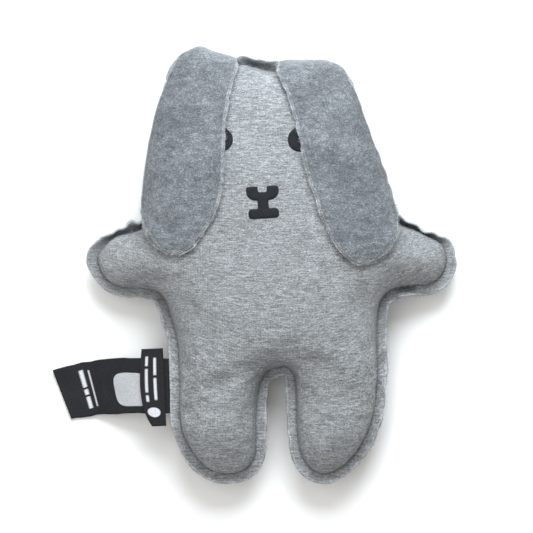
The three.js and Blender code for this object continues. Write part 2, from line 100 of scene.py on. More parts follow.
# The flock patches.
PATCH_STEP = 0.9
PATCH_MARGIN = 0.55
PATCH_EDGE_HEIGHT = 0.12
PATCH_CROWN = 0.5  # the rest of its height, gained over the width of its rounded edge
PATCH_ROUND = 0.9
PATCH_DEPTH = 0.15  # into the cover

# The ears.
EAR_ROWS = 110
EAR_COLUMNS = 44
EAR_LENGTH = 105  # from the fold to the tip, for the places of its uneven spots
EAR_HALF = EAR_CLOTH + EAR_GAP / 2
EAR_STITCH_INSET = 1.9
EAR_FIBRES = 620  # on each long edge
TAB_ROWS = 5
TURN_RADIUS = 1.6
TURN_ROWS = 5
HOOK_ROWS = 26
EAR_SEEDS = {"left": (50, 80), "right": (60, 90)}
# How far the fold's two corners are tucked in, and how far its middle stands out.
EAR_CORNERS = {"left": (2.8, 0.5, 1.1), "right": (1.1, 1.6, 0.0)}

# The labels.
LABEL_CLOTH = 0.55
SHORT_LABEL_CLOTH = 0.4
LABEL_INSIDE = 4.4  # sewn-in length
LABEL_REST = 0.75  # its middle's height where it lies on the table
LABEL_DROP = 44  # how far out of the seam it gets there
LABEL_CREASE = 33
LABEL_LIFT = (40, 56)

# What is seen, in metres but for the last two.
VIEW_SPAN = 0.2665  # across the picture at the toy
VIEW_CENTRE = Vector((-0.00325, 0.01175, 0.018))
CAMERA_DISTANCE = 2.4
SENSOR_WIDTH = 36
FLOOR_HALF = 3000

EAR_ROOTS = {"left": [(-42.5, 116), (-19.5, 110.4)], "right": [(3, 109), (29.5, 109)]}
LABEL_ROOT = [(-45.8, -68.5), (-47.6, -28)]

# The seam line, anticlockwise from the crotch.
SEAM_POINTS = [
    (1, -39.3), (7, -38.6), (10.6, -43.5),
    (11.5, -55), (11.7, -68), (13.5, -80), (18, -88.5), (25.5, -92), (34, -88.5), (42, -80), (48, -68),
    (51, -55), (52.3, -42), (52, -28), (52.2, -15), (54.2, -5), (59.5, 0.2),
    (69, 2), (79, 3.2), (85, 8.5), (87, 16.5), (84.5, 23), (78, 26.8), (70.5, 30.8), (62, 33.8),
    (57, 39), (53, 48), (50, 57.5), (46.2, 67), (42.3, 77), (39.3, 87), (36.8, 96.5), (34.2, 104),
    (29.5, 109), (16, 109), (3, 109), (-3.5, 110), (-10, 111.8), (-15.5, 112.9), (-19.5, 111.4),
    (-31, 113.2), (-42.5, 116),
    (-47.5, 110.5), (-49.5, 100), (-52.6, 88), (-55.6, 76), (-57.6, 63), (-58.9, 50), (-60, 39.5),
    (-64.5, 31.5), (-71.5, 28.8), (-78, 27.2), (-84, 22.5), (-88, 17), (-86.5, 10), (-82, 4.2),
    (-74.5, 1.2), (-66, 0.8),
    (-58.5, -0.6), (-53.8, -5.5), (-51.2, -14), (-48.6, -22), (-47.6, -28), (-46.7, -48), (-45.8, -68.5),
    (-42.5, -76.5), (-37.5, -84.5), (-31, -90), (-23, -92), (-14.5, -90), (-9.3, -84), (-8.3, -74),
    (-8.2, -62), (-7, -49.5), (-4, -42),
]

# Each ear's free edges from the fold to the tip, the left one and the right one.
EAR_EDGES = {
    "left": (
        [(-48.4, 113.2), (-53.4, 102.3), (-58.5, 87), (-62.5, 67.5), (-64.5, 49.5), (-64.2, 33), (-60.2, 25),
         (-54.8, 19.7), (-50, 17.9)],
        [(-19.6, 106.5), (-21.6, 99), (-24, 84), (-25, 66), (-26, 50), (-29.5, 37.5), (-35, 28.5),
         (-41, 21), (-47.4, 17.9)],
    ),
    "right": (
        [(3.8, 105.5), (8, 96), (12, 82), (17, 60), (21.5, 45), (27, 30.5), (33, 20.3), (38.5, 14.9),
         (43.6, 13)],
        [(36.6, 106.8), (41.8, 96.2), (46.2, 83.5), (52.3, 67), (58, 51), (61.8, 36), (60.8, 25.5),
         (55.5, 17.5), (46.4, 13)],
    ),
}

LONG_LABEL_EDGES = (
    [(-53.2, -34.2), (-75, -34), (-95, -36.5), (-111.0, -40.3)],
    [(-52.2, -61.6), (-70, -62), (-88, -63), (-101.5, -65)],
)
SHORT_LABEL_SPAN = [(-53.4, -29), (-51.8, -67.8)]
EYES = {"left": (-26, 74.6), "right": (13.3, 74.6)}
EYE_RADIUS = 6.1
NOSE_CENTRE = (-5, 44)

# Where the seam allowance curls up: place, reach and angle in radians.
CURLS = [
    ((-8, 110), 16, 0.95), ((-66, 32), 9, 1.0), ((-79, 27), 7, 1.0), ((-88, 20), 5, 0.5),
    ((64, 34), 9, 1.0), ((77, 28), 8, 1.05), ((86, 20), 7, 0.55), ((66, 2), 6, 0.7),
    ((52, -8), 9, 0.3), ((-52, -8), 9, 0.3),
]
# Where the seam allowance is wider: place, reach and extra width.
WIDE_SPOTS = [
    ((2, 109), 9, 2.6), ((-14, 111), 7, 1.0), ((-65, 32), 9, 1.5), ((64, 34), 9, 1.3), ((-88, 22), 6, 0.8),
]

# Fine creases on the front: middle, half length, bend, slope, depth and random seed.
CREASES = [
    ((3, -31.5), 15, 0.010, 0.03, 0.45, 21),
    ((4, -26.5), 22, 0.006, 0.00, 0.30, 22),
    ((0, -19), 26, 0.004, -0.02, 0.22, 23),
    ((-62, 7), 9, 0.004, 0.45, 0.35, 24),
    ((-60, 13), 10, 0.002, 0.35, 0.25, 25),
    ((64, 9), 9, 0.004, -0.40, 0.35, 26),
    ((62, 16), 10, 0.002, -0.30, 0.25, 27),
    ((-42, -6), 9, 0.004, -0.50, 0.28, 28),
    ((44, -9), 9, 0.004, 0.55, 0.28, 29),
    ((-22, -60), 11, 0.006, 0.10, 0.22, 30),
    ((31, -64), 12, 0.006, -0.08, 0.22, 31),
]


# ---- Numbers ----

def unit(v):
    return v / np.maximum(np.linalg.norm(v, axis=-1, keepdims=True), 1e-12)


def smoothstep(x, low, high):
    t = np.clip((x - low) / (high - low), 0, 1)
    return t * t * (3 - 2 * t)


def bell(x, width, power=2):
    """1 at zero, down to 0 on both sides; a higher power makes it flatter on top."""
    return np.exp(-((np.abs(x) / width) ** power))


def wander(position, wavelength, seed):
    """Smooth random values in about -1 to 1 along a line."""
    table = np.random.default_rng(seed).uniform(-1, 1, 4096)
    x = np.asarray(position, float) / wavelength + 1000.5
    i = np.floor(x).astype(int)
    t = x - i
    t = t * t * (3 - 2 * t)
    return table[i % 4096] * (1 - t) + table[(i + 1) % 4096] * t


def lumps(points, wavelength, seed):
    """Smooth random values in about -1 to 1 over the plane or in space, as a sum of waves."""
    rng = np.random.default_rng(seed)
    total = np.zeros(len(points))
    waves = 14
    for _ in range(waves):
        direction = unit(rng.normal(size=points.shape[1]))
        k = 2 * math.pi / wavelength * rng.uniform(0.6, 1.6)
        total += np.sin(points @ direction * k + rng.uniform(0, 2 * math.pi))
    return total / math.sqrt(waves)


def distances_along(line):
    return np.concatenate([[0], np.cumsum(np.linalg.norm(np.diff(line, axis=0), axis=1))])


def cut_line(line, travelled, at):
    return np.stack([np.interp(at, travelled, column) for column in line.T], axis=1)


def near_spot(p, place, reach):
    """1 at a place, down to 0 past its reach, for each point."""
    return bell(np.hypot(p[:, 0] - place[0], p[:, 1] - place[1]), reach, 4)


def smooth_line(points, spacing=None, count=None, closed=False):
    """A centripetal Catmull-Rom line through the points, cut at even distances."""
    p = np.array(points, float)
    if closed:
        p = np.vstack([p[-1], p, p[0], p[1]])
    else:
        p = np.vstack([2 * p[0] - p[1], p, 2 * p[-1] - p[-2]])
    steps = np.linspace(0, 1, 40, endpoint=False)[:, None]
    line = []
    for a, b, c, d in zip(p, p[1:], p[2:], p[3:]):
        t1 = np.linalg.norm(b - a) ** 0.5
        t2 = t1 + np.linalg.norm(c - b) ** 0.5
        t3 = t2 + np.linalg.norm(d - c) ** 0.5
        t = t1 + (t2 - t1) * steps
        a1 = (t1 - t) / t1 * a + t / t1 * b
        a2 = (t2 - t) / (t2 - t1) * b + (t - t1) / (t2 - t1) * c
        a3 = (t3 - t) / (t3 - t2) * c + (t - t2) / (t3 - t2) * d
        b1 = (t2 - t) / t2 * a1 + t / t2 * a2
        b2 = (t3 - t) / (t3 - t1) * a2 + (t - t1) / (t3 - t1) * a3
        line.append((t2 - t) / (t2 - t1) * b1 + (t - t1) / (t2 - t1) * b2)
    line = np.vstack(line + [p[-2][None]])
    travelled = distances_along(line)
    if count is None:
        count = int(round(travelled[-1] / spacing)) + (0 if closed else 1)
    at = np.linspace(0, travelled[-1], count, endpoint=not closed)
    return cut_line(line, travelled, at)


def outward_of(ring):
    """The directions out of a closed line that runs anticlockwise."""
    tangent = unit(np.roll(ring, -1, axis=0) - np.roll(ring, 1, axis=0))
    return np.stack([tangent[:, 1], -tangent[:, 0]], axis=1)


def is_inside(points, outline):
    """Whether each point is inside a closed outline, by counting crossings."""
    inside = np.zeros(len(points), bool)
    a, b = outline, np.roll(outline, -1, axis=0)
    for (ax, ay), (bx, by) in zip(a, b):
        if ay == by:
            continue
        crosses = (ay > points[:, 1]) != (by > points[:, 1])
        inside ^= crosses & (points[:, 0] < (bx - ax) * (points[:, 1] - ay) / (by - ay) + ax)
    return inside


def nearest_on(points, line):
    """Index of the nearest point of a line, and the distance to it, for each point."""
    index, distance = [], []
    for chunk in np.array_split(points, max(1, len(points) // 2000)):
        d = np.linalg.norm(chunk[:, None] - line[None], axis=2)
        index.append(d.argmin(axis=1))
        distance.append(d.min(axis=1))
    return np.concatenate(index), np.concatenate(distance)


def grid_points(outline, step, margin):
    """A triangular grid of points inside an outline and clear of it by the margin."""
    low, high = outline.min(axis=0), outline.max(axis=0)
    rows = np.arange(low[1], high[1], step * math.sqrt(0.75))
    points = np.array(
        [(x + (j % 2) * step / 2, y) for j, y in enumerate(rows) for x in np.arange(low[0], high[0], step)]
    )
    points = points[is_inside(points, outline)]
    return points[nearest_on(points, outline)[1] > margin]


def triangulate(points, outline_count):
    """Triangles inside the outline, which is the first outline_count of the points."""
    vectors = [Vector(p) for p in points]
    result = delaunay_2d_cdt(vectors, [], [list(range(outline_count))], 1, 1e-6)
    places = np.array([tuple(v) for v in result[0]])
    first = np.array([from_points[0] if from_points else -1 for from_points in result[3]])
    return places, first, np.array(result[2], int)


# ---- Meshes ----

def make_object(name, vertices, faces, material, uv=None, smooth=True):
    mesh = bpy.data.meshes.new(name)
    mesh.from_pydata((np.asarray(vertices) * MM).tolist(), [], [list(map(int, f)) for f in faces])
    mesh.validate()
    mesh.polygons.foreach_set("use_smooth", [smooth] * len(mesh.polygons))
    if uv is not None:
        layer = mesh.uv_layers.new(name="UVMap")
        corners = np.zeros(len(mesh.loops), int)
        mesh.loops.foreach_get("vertex_index", corners)
        layer.data.foreach_set("uv", np.asarray(uv, np.float32)[corners].ravel())
    mesh.materials.append(material)
    thing = bpy.data.objects.new(name, mesh)
    bpy.context.scene.collection.objects.link(thing)
    return thing


def grid_faces(rows, columns, start=0, loop=False, flip=False):
    faces = []
    for i in range(rows if loop else rows - 1):
        for j in range(columns - 1):
            a = start + i * columns + j
            b = start + ((i + 1) % rows) * columns + j
            faces.append((a, a + 1, b + 1, b) if flip else (a, b, b + 1, a + 1))
    return faces


def grid_normals(grid, loop=False):
    if loop:
        down = np.roll(grid, -1, axis=0) - np.roll(grid, 1, axis=0)
    else:
        down = np.gradient(grid, axis=0)
    across = np.gradient(grid, axis=1)
    return unit(np.cross(down, across))


def ring_shell(grid, thickness, round_edge):
    """A closed cloth along the normals of a ring-shaped grid, with rounded inner and outer edges."""
    rows, columns = grid.shape[:2]
    normals = grid_normals(grid, loop=True)
    # the edge's middle line stays a little way out of the two sheets, so that it is round
    tuck = unit(np.gradient(grid, axis=1)) * round_edge
    sheets = []
    for height in (-thickness / 2, thickness / 2):
        layer = grid + normals * height
        layer[:, 0] += tuck[:, 0]
        layer[:, -1] -= tuck[:, -1]
        sheets.append(layer.reshape(-1, 3))
    count = rows * columns
    faces = grid_faces(rows, columns, count, loop=True) + grid_faces(rows, columns, loop=True, flip=True)
    for k, column in enumerate((0, columns - 1)):
        sheets.append(grid[:, column])
        first = 2 * count + k * rows
        for i in range(rows):
            j = (i + 1) % rows
            a, b = first + i, first + j
            under_a, under_b = i * columns + column, j * columns + column
            quads = [(under_a, under_b, b, a), (a, b, under_b + count, under_a + count)]
            faces += quads if column else [tuple(reversed(q)) for q in quads]
    return np.vstack(sheets), faces


def sheet_shell(lower, upper):
    """A closed cloth between two grids of points, lower ones first."""
    rows, columns = lower.shape[:2]
    count = rows * columns
    faces = grid_faces(rows, columns, count) + grid_faces(rows, columns, flip=True)
    rim = [i * columns for i in range(rows)]
    rim += [(rows - 1) * columns + j for j in range(1, columns)]
    rim += [i * columns + columns - 1 for i in range(rows - 2, -1, -1)]
    rim += list(range(columns - 2, 0, -1))
    faces += [(a, b, b + count, a + count) for a, b in zip(rim, rim[1:] + rim[:1])]
    return np.vstack([lower.reshape(-1, 3), upper.reshape(-1, 3)]), faces


def pair_faces(triangles, first, ring_count, count):
    """Faces of two like sheets of triangles, upper one first, joined round their outline. Also gives the
    outline's points of the upper sheet in order."""
    held = (first >= 0) & (first < ring_count)
    order = np.flatnonzero(held)[np.argsort(first[held])]
    faces = [tuple(t) for t in triangles] + [tuple(t[::-1] + count) for t in triangles]
    faces += [(a, a + count, b + count, b) for a, b in zip(order, np.roll(order, -1))]
    return faces, order


def fix_normals(thing):
    work = bmesh.new()
    work.from_mesh(thing.data)
    bmesh.ops.recalc_face_normals(work, faces=work.faces)
    work.to_mesh(thing.data)
    work.free()


def subdivide(thing):
    modifier = thing.modifiers.new("Subdivision", "SUBSURF")
    modifier.levels = modifier.render_levels = 1
    mesh = bpy.data.meshes.new_from_object(thing.evaluated_get(bpy.context.evaluated_depsgraph_get()))
    old = thing.data
    thing.modifiers.clear()
    thing.data = mesh
    mesh.name = old.name
    bpy.data.meshes.remove(old)


def positions(thing):
    p = np.zeros(len(thing.data.vertices) * 3)
    thing.data.vertices.foreach_get("co", p)
    return p.reshape(-1, 3) / MM


def set_positions(thing, p):
    thing.data.vertices.foreach_set("co", (np.asarray(p) * MM).ravel())
    thing.data.update()


def mesh_normals(thing):
    n = np.zeros(len(thing.data.vertices) * 3, np.float32)
    thing.data.vertices.foreach_get("normal", n)
    return n.reshape(-1, 3).astype(float)


# ---- Materials ----

class Nodes:
    """A material's nodes, with short calls for the few that the cloths use."""

    def __init__(self, name):
        self.material = bpy.data.materials.new(name)
        self.material.use_nodes = True
        self.tree = self.material.node_tree
        self.shader = self.tree.nodes["Principled BSDF"]
        self.place = self.add("ShaderNodeTexCoord").outputs["Object"]
        self.uv = self.tree.nodes["Texture Coordinate"].outputs["UV"]

    def add(self, kind, **settings):
        node = self.tree.nodes.new(kind)
        for key, value in settings.items():
            setattr(node, key, value)
        return node

    def link(self, value, socket):
        if isinstance(value, bpy.types.NodeSocket):
            self.tree.links.new(value, socket)
        else:
            socket.default_value = value

    def attribute(self, name, output="Fac"):
        return self.add("ShaderNodeAttribute", attribute_name=name).outputs[output]

    def math(self, operation, a, b=0.0):
        node = self.add("ShaderNodeMath", operation=operation)
        self.link(a, node.inputs[0])
        self.link(b, node.inputs[1])
        return node.outputs[0]

    def weighted(self, *terms):
        """The sum of each value times its weight."""
        products = [self.math("MULTIPLY", value, weight) for value, weight in terms]
        return self.joined("ADD", products)

    def joined(self, operation, values):
        total = values[0]
        for value in values[1:]:
            total = self.math(operation, total, value)
        return total

    def spread(self, value, gain, middle=0.5):
        """The value's distance from a half, times gain, about a new middle."""
        return self.math("ADD", self.math("MULTIPLY", self.math("SUBTRACT", value, 0.5), gain), middle)

    def split(self, vector):
        node = self.add("ShaderNodeSeparateXYZ")
        self.link(vector, node.inputs[0])
        return node.outputs

    def moved(self, place, offset):
        node = self.add("ShaderNodeVectorMath", operation="ADD")
        self.link(place, node.inputs[0])
        node.inputs[1].default_value = offset
        return node.outputs[0]

    def noise(self, size, detail=2.0, roughness=0.5, place=None, distortion=0.0):
        """Noise whose features are about size millimetres; size may differ along the axes."""
        sizes = size if hasattr(size, "__len__") else (size, size, size)
        mapping = self.add("ShaderNodeMapping")
        self.link(self.place if place is None else place, mapping.inputs["Vector"])
        mapping.inputs["Scale"].default_value = [1000 / s for s in sizes]
        node = self.add("ShaderNodeTexNoise")
        self.link(mapping.outputs[0], node.inputs["Vector"])
        node.inputs["Scale"].default_value = 1
        node.inputs["Detail"].default_value = detail
        node.inputs["Roughness"].default_value = roughness
        node.inputs["Distortion"].default_value = distortion
        return node.outputs[0]

    def remap(self, value, low, high, to_low=0.0, to_high=1.0):
        node = self.add("ShaderNodeMapRange")
        for socket, number in zip(node.inputs, (value, low, high, to_low, to_high)):
            self.link(number, socket)
        return node.outputs[0]

    def ramp(self, value, stops):
        node = self.add("ShaderNodeValToRGB")
        self.link(value, node.inputs[0])
        ramp = node.color_ramp
        while len(ramp.elements) < len(stops):
            ramp.elements.new(0.5)
        for element, (at, colour) in zip(ramp.elements, stops):
            element.position = at
            element.color = (*colour, 1)
        return node.outputs[0]

    def mix(self, factor, a, b):
        node = self.add("ShaderNodeMix", data_type="RGBA")
        self.link(factor, node.inputs[0])
        self.link(a, node.inputs[6])
        self.link(b, node.inputs[7])
        return node.outputs[2]

    def finish(self, colour, height, depth, roughness, sheen=0.0, sheen_roughness=0.5):
        bump = self.add("ShaderNodeBump")
        bump.inputs["Distance"].default_value = depth * MM
        bump.inputs["Strength"].default_value = 1
        self.link(height, bump.inputs["Height"])
        self.link(colour, self.shader.inputs["Base Color"])
        self.link(bump.outputs[0], self.shader.inputs["Normal"])
        self.link(roughness, self.shader.inputs["Roughness"])
        self.shader.inputs["Specular IOR Level"].default_value = 0.15
        self.shader.inputs["Sheen Weight"].default_value = sheen
        self.shader.inputs["Sheen Roughness"].default_value = sheen_roughness
        return self.material


def grey(value):
    """A slightly blue grey."""
    return (value * 0.96, value, value * 1.045)


def jersey(name, light=1.0):
    """Grey heather jersey: short light and dark streaks across the knit's fine columns. It follows the
    cloth's own knit directions, has painted shade along the seam and in curled seam allowances, and is pale
    at its raw edges, with a painted highlight on the curled allowances' rims."""
    n = Nodes(name)
    place = n.attribute("knit", "Vector")
    long_streaks = n.noise((4.6, 0.7, 1.8), 3, 0.68, place)
    short_streaks = n.noise((1.0, 0.42, 0.6), 2, 0.65, place)
    flecks = n.noise((0.75, 0.5, 0.6), 1, 0.5, n.moved(place, (0.031, 0.017, 0.023)))
    cloud = n.noise(14, 2, 0.5, place)
    value = n.spread(n.weighted((long_streaks, 0.42), (short_streaks, 0.32), (flecks, 0.26)), 3.3)
    value = n.math("ADD", value, n.spread(cloud, 0.2, middle=0))
    tones = [(0.05, 0.095), (0.38, 0.19), (0.60, 0.275), (0.95, 0.45)]
    colour = n.ramp(value, [(at, grey(tone * light)) for at, tone in tones])
    # painted shade: mixes the colour towards a near-black grey along the seam and in curled allowances
    colour = n.mix(n.attribute("painted_seam_shade"), colour, n.ramp(value, [(0.2, grey(0.05)), (0.8, grey(0.14))]))
    # pale raw edges, plus a painted highlight on curled allowance rims
    colour = n.mix(n.attribute("raw_edge"), colour, n.ramp(value, [(0.2, grey(0.27)), (0.8, grey(0.6))]))
    wobble = n.spread(n.noise(9, 1, 0.5, place), 2.6, middle=0)
    phase = n.math("MULTIPLY", n.split(place)[0], 2 * math.pi / (KNIT_COLUMN * MM))
    columns = n.math("SINE", n.math("ADD", phase, wobble))
    height = n.weighted((columns, 0.2), (short_streaks, 1.6))
    return n.finish(colour, height, 0.22, n.remap(short_streaks, 0.3, 0.7, 0.85, 1.0), sheen=0.1)


def velour(name, light=1.0):
    """Brushed velour: a deeper blue grey whose pile lies in small light and dark patches."""
    n = Nodes(name)
    patches = n.noise((4.5, 2.4, 3), 4, 0.72, distortion=0.3)
    grain = n.noise((0.85, 0.6, 0.7), 2, 0.65)
    broad = n.noise(18, 2)
    value = n.spread(n.weighted((patches, 0.42), (grain, 0.58)), 2.6)
    value = n.math("ADD", value, n.spread(broad, 0.5, middle=0))
    tint = (0.93, 1.0, 1.085)
    tones = [(0.05, 0.062), (0.40, 0.117), (0.6, 0.162), (0.95, 0.30)]
    colour = n.ramp(value, [(at, tuple(t * tone * light for t in tint)) for at, tone in tones])
    # pale raw edges, and a painted highlight across the ear near its fold
    colour = n.mix(n.attribute("raw_edge"), colour, n.ramp(value, [(0.2, grey(0.24)), (0.8, grey(0.62))]))
    height = n.weighted((patches, 0.7), (grain, 1.0))
    rough = n.remap(grain, 0.3, 0.7, 0.88, 1.0)
    return n.finish(colour, height, 0.42, rough, sheen=0.32, sheen_roughness=0.35)


def flock(name):
    n = Nodes(name)
    grain = n.noise(0.5, 2, 0.7)
    patches = n.noise(3, 2)
    value = n.weighted((grain, 0.7), (patches, 0.3))
    colour = n.ramp(value, [(0.3, (0.007, 0.008, 0.010)), (0.7, (0.018, 0.0205, 0.025))])
    return n.finish(colour, grain, 0.12, n.remap(grain, 0.3, 0.7, 0.75, 0.95), sheen=0.1)


def thread(name, light=1.0):
    n = Nodes(name)
    twist = n.noise(0.35, 2, 0.7)
    colour = n.ramp(twist, [(0.3, grey(0.24 * light)), (0.7, grey(0.42 * light))])
    return n.finish(colour, twist, 0.08, n.remap(twist, 0.3, 0.7, 0.6, 0.85))


def fibre(name):
    n = Nodes(name)
    strands = n.noise((4, 1.2, 2), 4, 0.7, distortion=1.5)
    colour = n.ramp(strands, [(0.3, (0.62, 0.62, 0.6)), (0.7, (0.86, 0.86, 0.84))])
    return n.finish(colour, strands, 0.6, n.remap(strands, 0.3, 0.7, 0.9, 1.0), sheen=0.3)


def box_mask(n, across, along, low, high, soft):
    """1 inside a rectangle of the label's own coordinates."""
    (u0, v0), (u1, v1) = low, high
    return n.joined("MULTIPLY", [
        n.remap(along, u0 - soft, u0 + soft), n.remap(along, u1 + soft, u1 - soft),
        n.remap(across, v0 - soft, v0 + soft), n.remap(across, v1 + soft, v1 - soft),
    ])


def woven_label(name, marks):
    """Black woven tape with fine ribs; marks makes the mask of its pale woven shapes."""
    n = Nodes(name)
    along, across, _ = n.split(n.uv)
    ribs = n.math("SINE", n.math("MULTIPLY", along, 2 * math.pi * 70))
    cross_ribs = n.math("SINE", n.math("MULTIPLY", across, 2 * math.pi * 36))
    weave = n.math("MULTIPLY", ribs, cross_ribs)
    speckle = n.noise(0.5, 2, 0.7)
    black = n.ramp(speckle, [(0.3, (0.006, 0.006, 0.008)), (0.7, (0.022, 0.022, 0.027))])
    pale = n.ramp(speckle, [(0.3, (0.42, 0.44, 0.47)), (0.7, (0.72, 0.74, 0.77))])
    colour = n.mix(marks(n, across, along), black, pale)
    height = n.weighted((weave, 0.5), (speckle, 1))
    return n.finish(colour, height, 0.07, n.remap(speckle, 0.3, 0.7, 0.5, 0.75), sheen=0.05)


def long_marks(n, across, along):
    """A broken bar, a fine line and a rounded block: plain shapes that say nothing."""
    masks = [box_mask(n, across, along, (0.70, 0.16), (0.712, 0.84), 0.006)]
    for low_end, high_end in ((0.14, 0.46), (0.50, 0.60), (0.64, 0.86)):
        masks.append(box_mask(n, across, along, (0.755, low_end), (0.79, high_end), 0.008))
    x = n.math("ABSOLUTE", n.math("SUBTRACT", along, 0.35))
    y = n.math("ABSOLUTE", n.math("SUBTRACT", across, 0.57))
    block = [n.math("POWER", n.math("DIVIDE", x, 0.155), 4), n.math("POWER", n.math("DIVIDE", y, 0.30), 4)]
    masks.append(n.math("MULTIPLY", n.remap(n.joined("ADD", block), 1.06, 0.94), 0.72))
    return n.joined("MAXIMUM", masks)


def short_marks(n, across, along):
    """Two broken lines and a plain dot."""
    masks = []
    first_line = [(0.12, 0.34), (0.38, 0.66)]
    second_line = [(0.10, 0.22), (0.26, 0.56), (0.60, 0.68)]
    for row, ends in ((0.13, first_line), (0.27, second_line)):
        for low_end, high_end in ends:
            masks.append(box_mask(n, across, along, (row, low_end), (row + 0.045, high_end), 0.01))
    x = n.math("DIVIDE", n.math("SUBTRACT", along, 0.22), 0.12)
    y = n.math("DIVIDE", n.math("SUBTRACT", across, 0.82), 0.062)
    dot = n.joined("ADD", [n.math("POWER", x, 2), n.math("POWER", y, 2)])
    masks.append(n.remap(dot, 1.12, 0.88))
    return n.joined("MAXIMUM", masks)


# ---- The body's seam and surfaces ----

class SewnEdge:
    """A straight sewn edge: where it starts, its direction and the outward direction."""

    def __init__(self, ends, allowance, thickness):
        self.start = np.array(ends[0], float)
        run = np.array(ends[1], float) - self.start
        self.length = np.linalg.norm(run)
        self.along = run / self.length
        self.outward = np.array([-self.along[1], self.along[0]])
        self.allowance, self.thickness = allowance, thickness

    def point(self, along, out):
        return self.start + self.along * along + self.outward * out

    def nearness(self, p, reach=8.0):
        off = p - self.start
        t = off @ self.along
        past = np.maximum(0, np.maximum(-t, t - self.length))
        side = np.maximum(0, np.abs(off @ self.outward) - 4)
        return (1 - smoothstep(past, 0, reach)) * (1 - smoothstep(side, 0, reach))


ears = {side: SewnEdge(ends, EAR_ALLOWANCE, 2 * EAR_CLOTH + EAR_GAP) for side, ends in EAR_ROOTS.items()}
label_edge = SewnEdge(LABEL_ROOT, SEAM_ALLOWANCE, 0.8)
sewn_edges = [ears["left"], ears["right"], label_edge]


def half_gap(p):
    return 0.08 + sum(edge.nearness(p) * (edge.thickness / 2 + 0.1) for edge in sewn_edges)


def allowance_at(p):
    width = np.full(len(p), float(SEAM_ALLOWANCE))
    for edge in sewn_edges:
        width += edge.nearness(p) * (edge.allowance - width)
    return width


def seam_plane(p):
    arm = smoothstep(np.abs(p[..., 0]), FIGURE_WIDTH * 0.29, FIGURE_WIDTH * 0.52)
    leg = smoothstep(-p[..., 1], FIGURE_LENGTH * 0.33, FIGURE_LENGTH * 0.5)
    return SEAM_HEIGHT - ARM_DROOP * arm - LEG_DROOP * leg


fine_seam = smooth_line(SEAM_POINTS, spacing=1.0, closed=True)
seam_outward = outward_of(fine_seam)
seam_travel = np.arange(len(fine_seam), dtype=float)
cover_ring = smooth_line(SEAM_POINTS, spacing=2.1, closed=True)


def body_layout():
    """Flat points inside the seam, in rings near it and a grid further in, and their triangles."""
    ring = cover_ring
    outward = outward_of(ring)
    parts = [ring]
    for depth in RING_DEPTHS:
        inner = ring - outward * depth
        inner = inner[is_inside(inner, ring)]
        inner = inner[nearest_on(inner, fine_seam)[1] > 0.97 * depth]
        kept = []
        for p in inner:
            if all(np.hypot(*(p - q)) > RING_POINT_GAP for q in kept[-6:]):
                kept.append(p)
        parts.append(np.array(kept))
    parts.append(grid_points(ring, GRID_STEP, GRID_MARGIN))
    return triangulate(np.vstack(parts), len(ring))


def membrane(points, triangles, held):
    """The height of a membrane held at the seam and pressed up, by conjugate gradients."""
    rows, columns, weights = [], [], []
    areas = np.zeros(len(points))
    for k in range(3):
        corner, left, right = (triangles[:, (k + m) % 3] for m in range(3))
        a, b = points[left] - points[corner], points[right] - points[corner]
        double = np.abs(a[:, 0] * b[:, 1] - a[:, 1] * b[:, 0])
        weight = (a * b).sum(axis=1) / double / 2
        rows += [left, right]
        columns += [right, left]
        weights += [weight, weight]
        np.add.at(areas, corner, double / 6)
    rows, columns, weights = map(np.concatenate, (rows, columns, weights))
    diagonal = np.bincount(rows, weights, len(points))
    free = ~held

    def apply(x):
        return free * (diagonal * x - np.bincount(rows, weights * x[columns], len(points)))

    x = np.zeros(len(points))
    residual = free * areas
    step = residual.copy()
    size = residual @ residual
    for _ in range(900):
        moved = apply(step)
        share = size / (step @ moved)
        x += share * step
        residual -= share * moved
        new = residual @ residual
        if new < 1e-14:
            break
        step = residual + new / size * step
        size = new
    return np.maximum(x, 0)


def simulate_cloth(thing, pinned):
    """Swells a closed cloth under pressure with its seam held. Returns the moved points."""
    group = thing.vertex_groups.new(name="seam")
    group.add(pinned.tolist(), 1.0, "REPLACE")
    modifier = thing.modifiers.new("Cloth", "CLOTH")
    cloth = modifier.settings
    cloth.quality = 6
    cloth.mass = 0.15
    cloth.tension_stiffness = cloth.compression_stiffness = 12
    cloth.shear_stiffness = 6
    cloth.bending_stiffness = 0.05
    cloth.use_pressure = True
    cloth.uniform_pressure_force = 4
    cloth.shrink_min = -0.035
    cloth.vertex_group_mass = group.name
    cloth.effector_weights.gravity = 0
    modifier.collision_settings.use_collision = False
    scene = bpy.context.scene
    for number in range(1, CLOTH_FRAMES + 1):
        scene.frame_set(number)
    mesh = thing.evaluated_get(bpy.context.evaluated_depsgraph_get()).data
    moved = np.zeros(len(mesh.vertices) * 3)
    mesh.vertices.foreach_get("co", moved)
    thing.modifiers.clear()
    thing.vertex_groups.clear()
    scene.frame_set(1)
    return moved.reshape(-1, 3) / MM


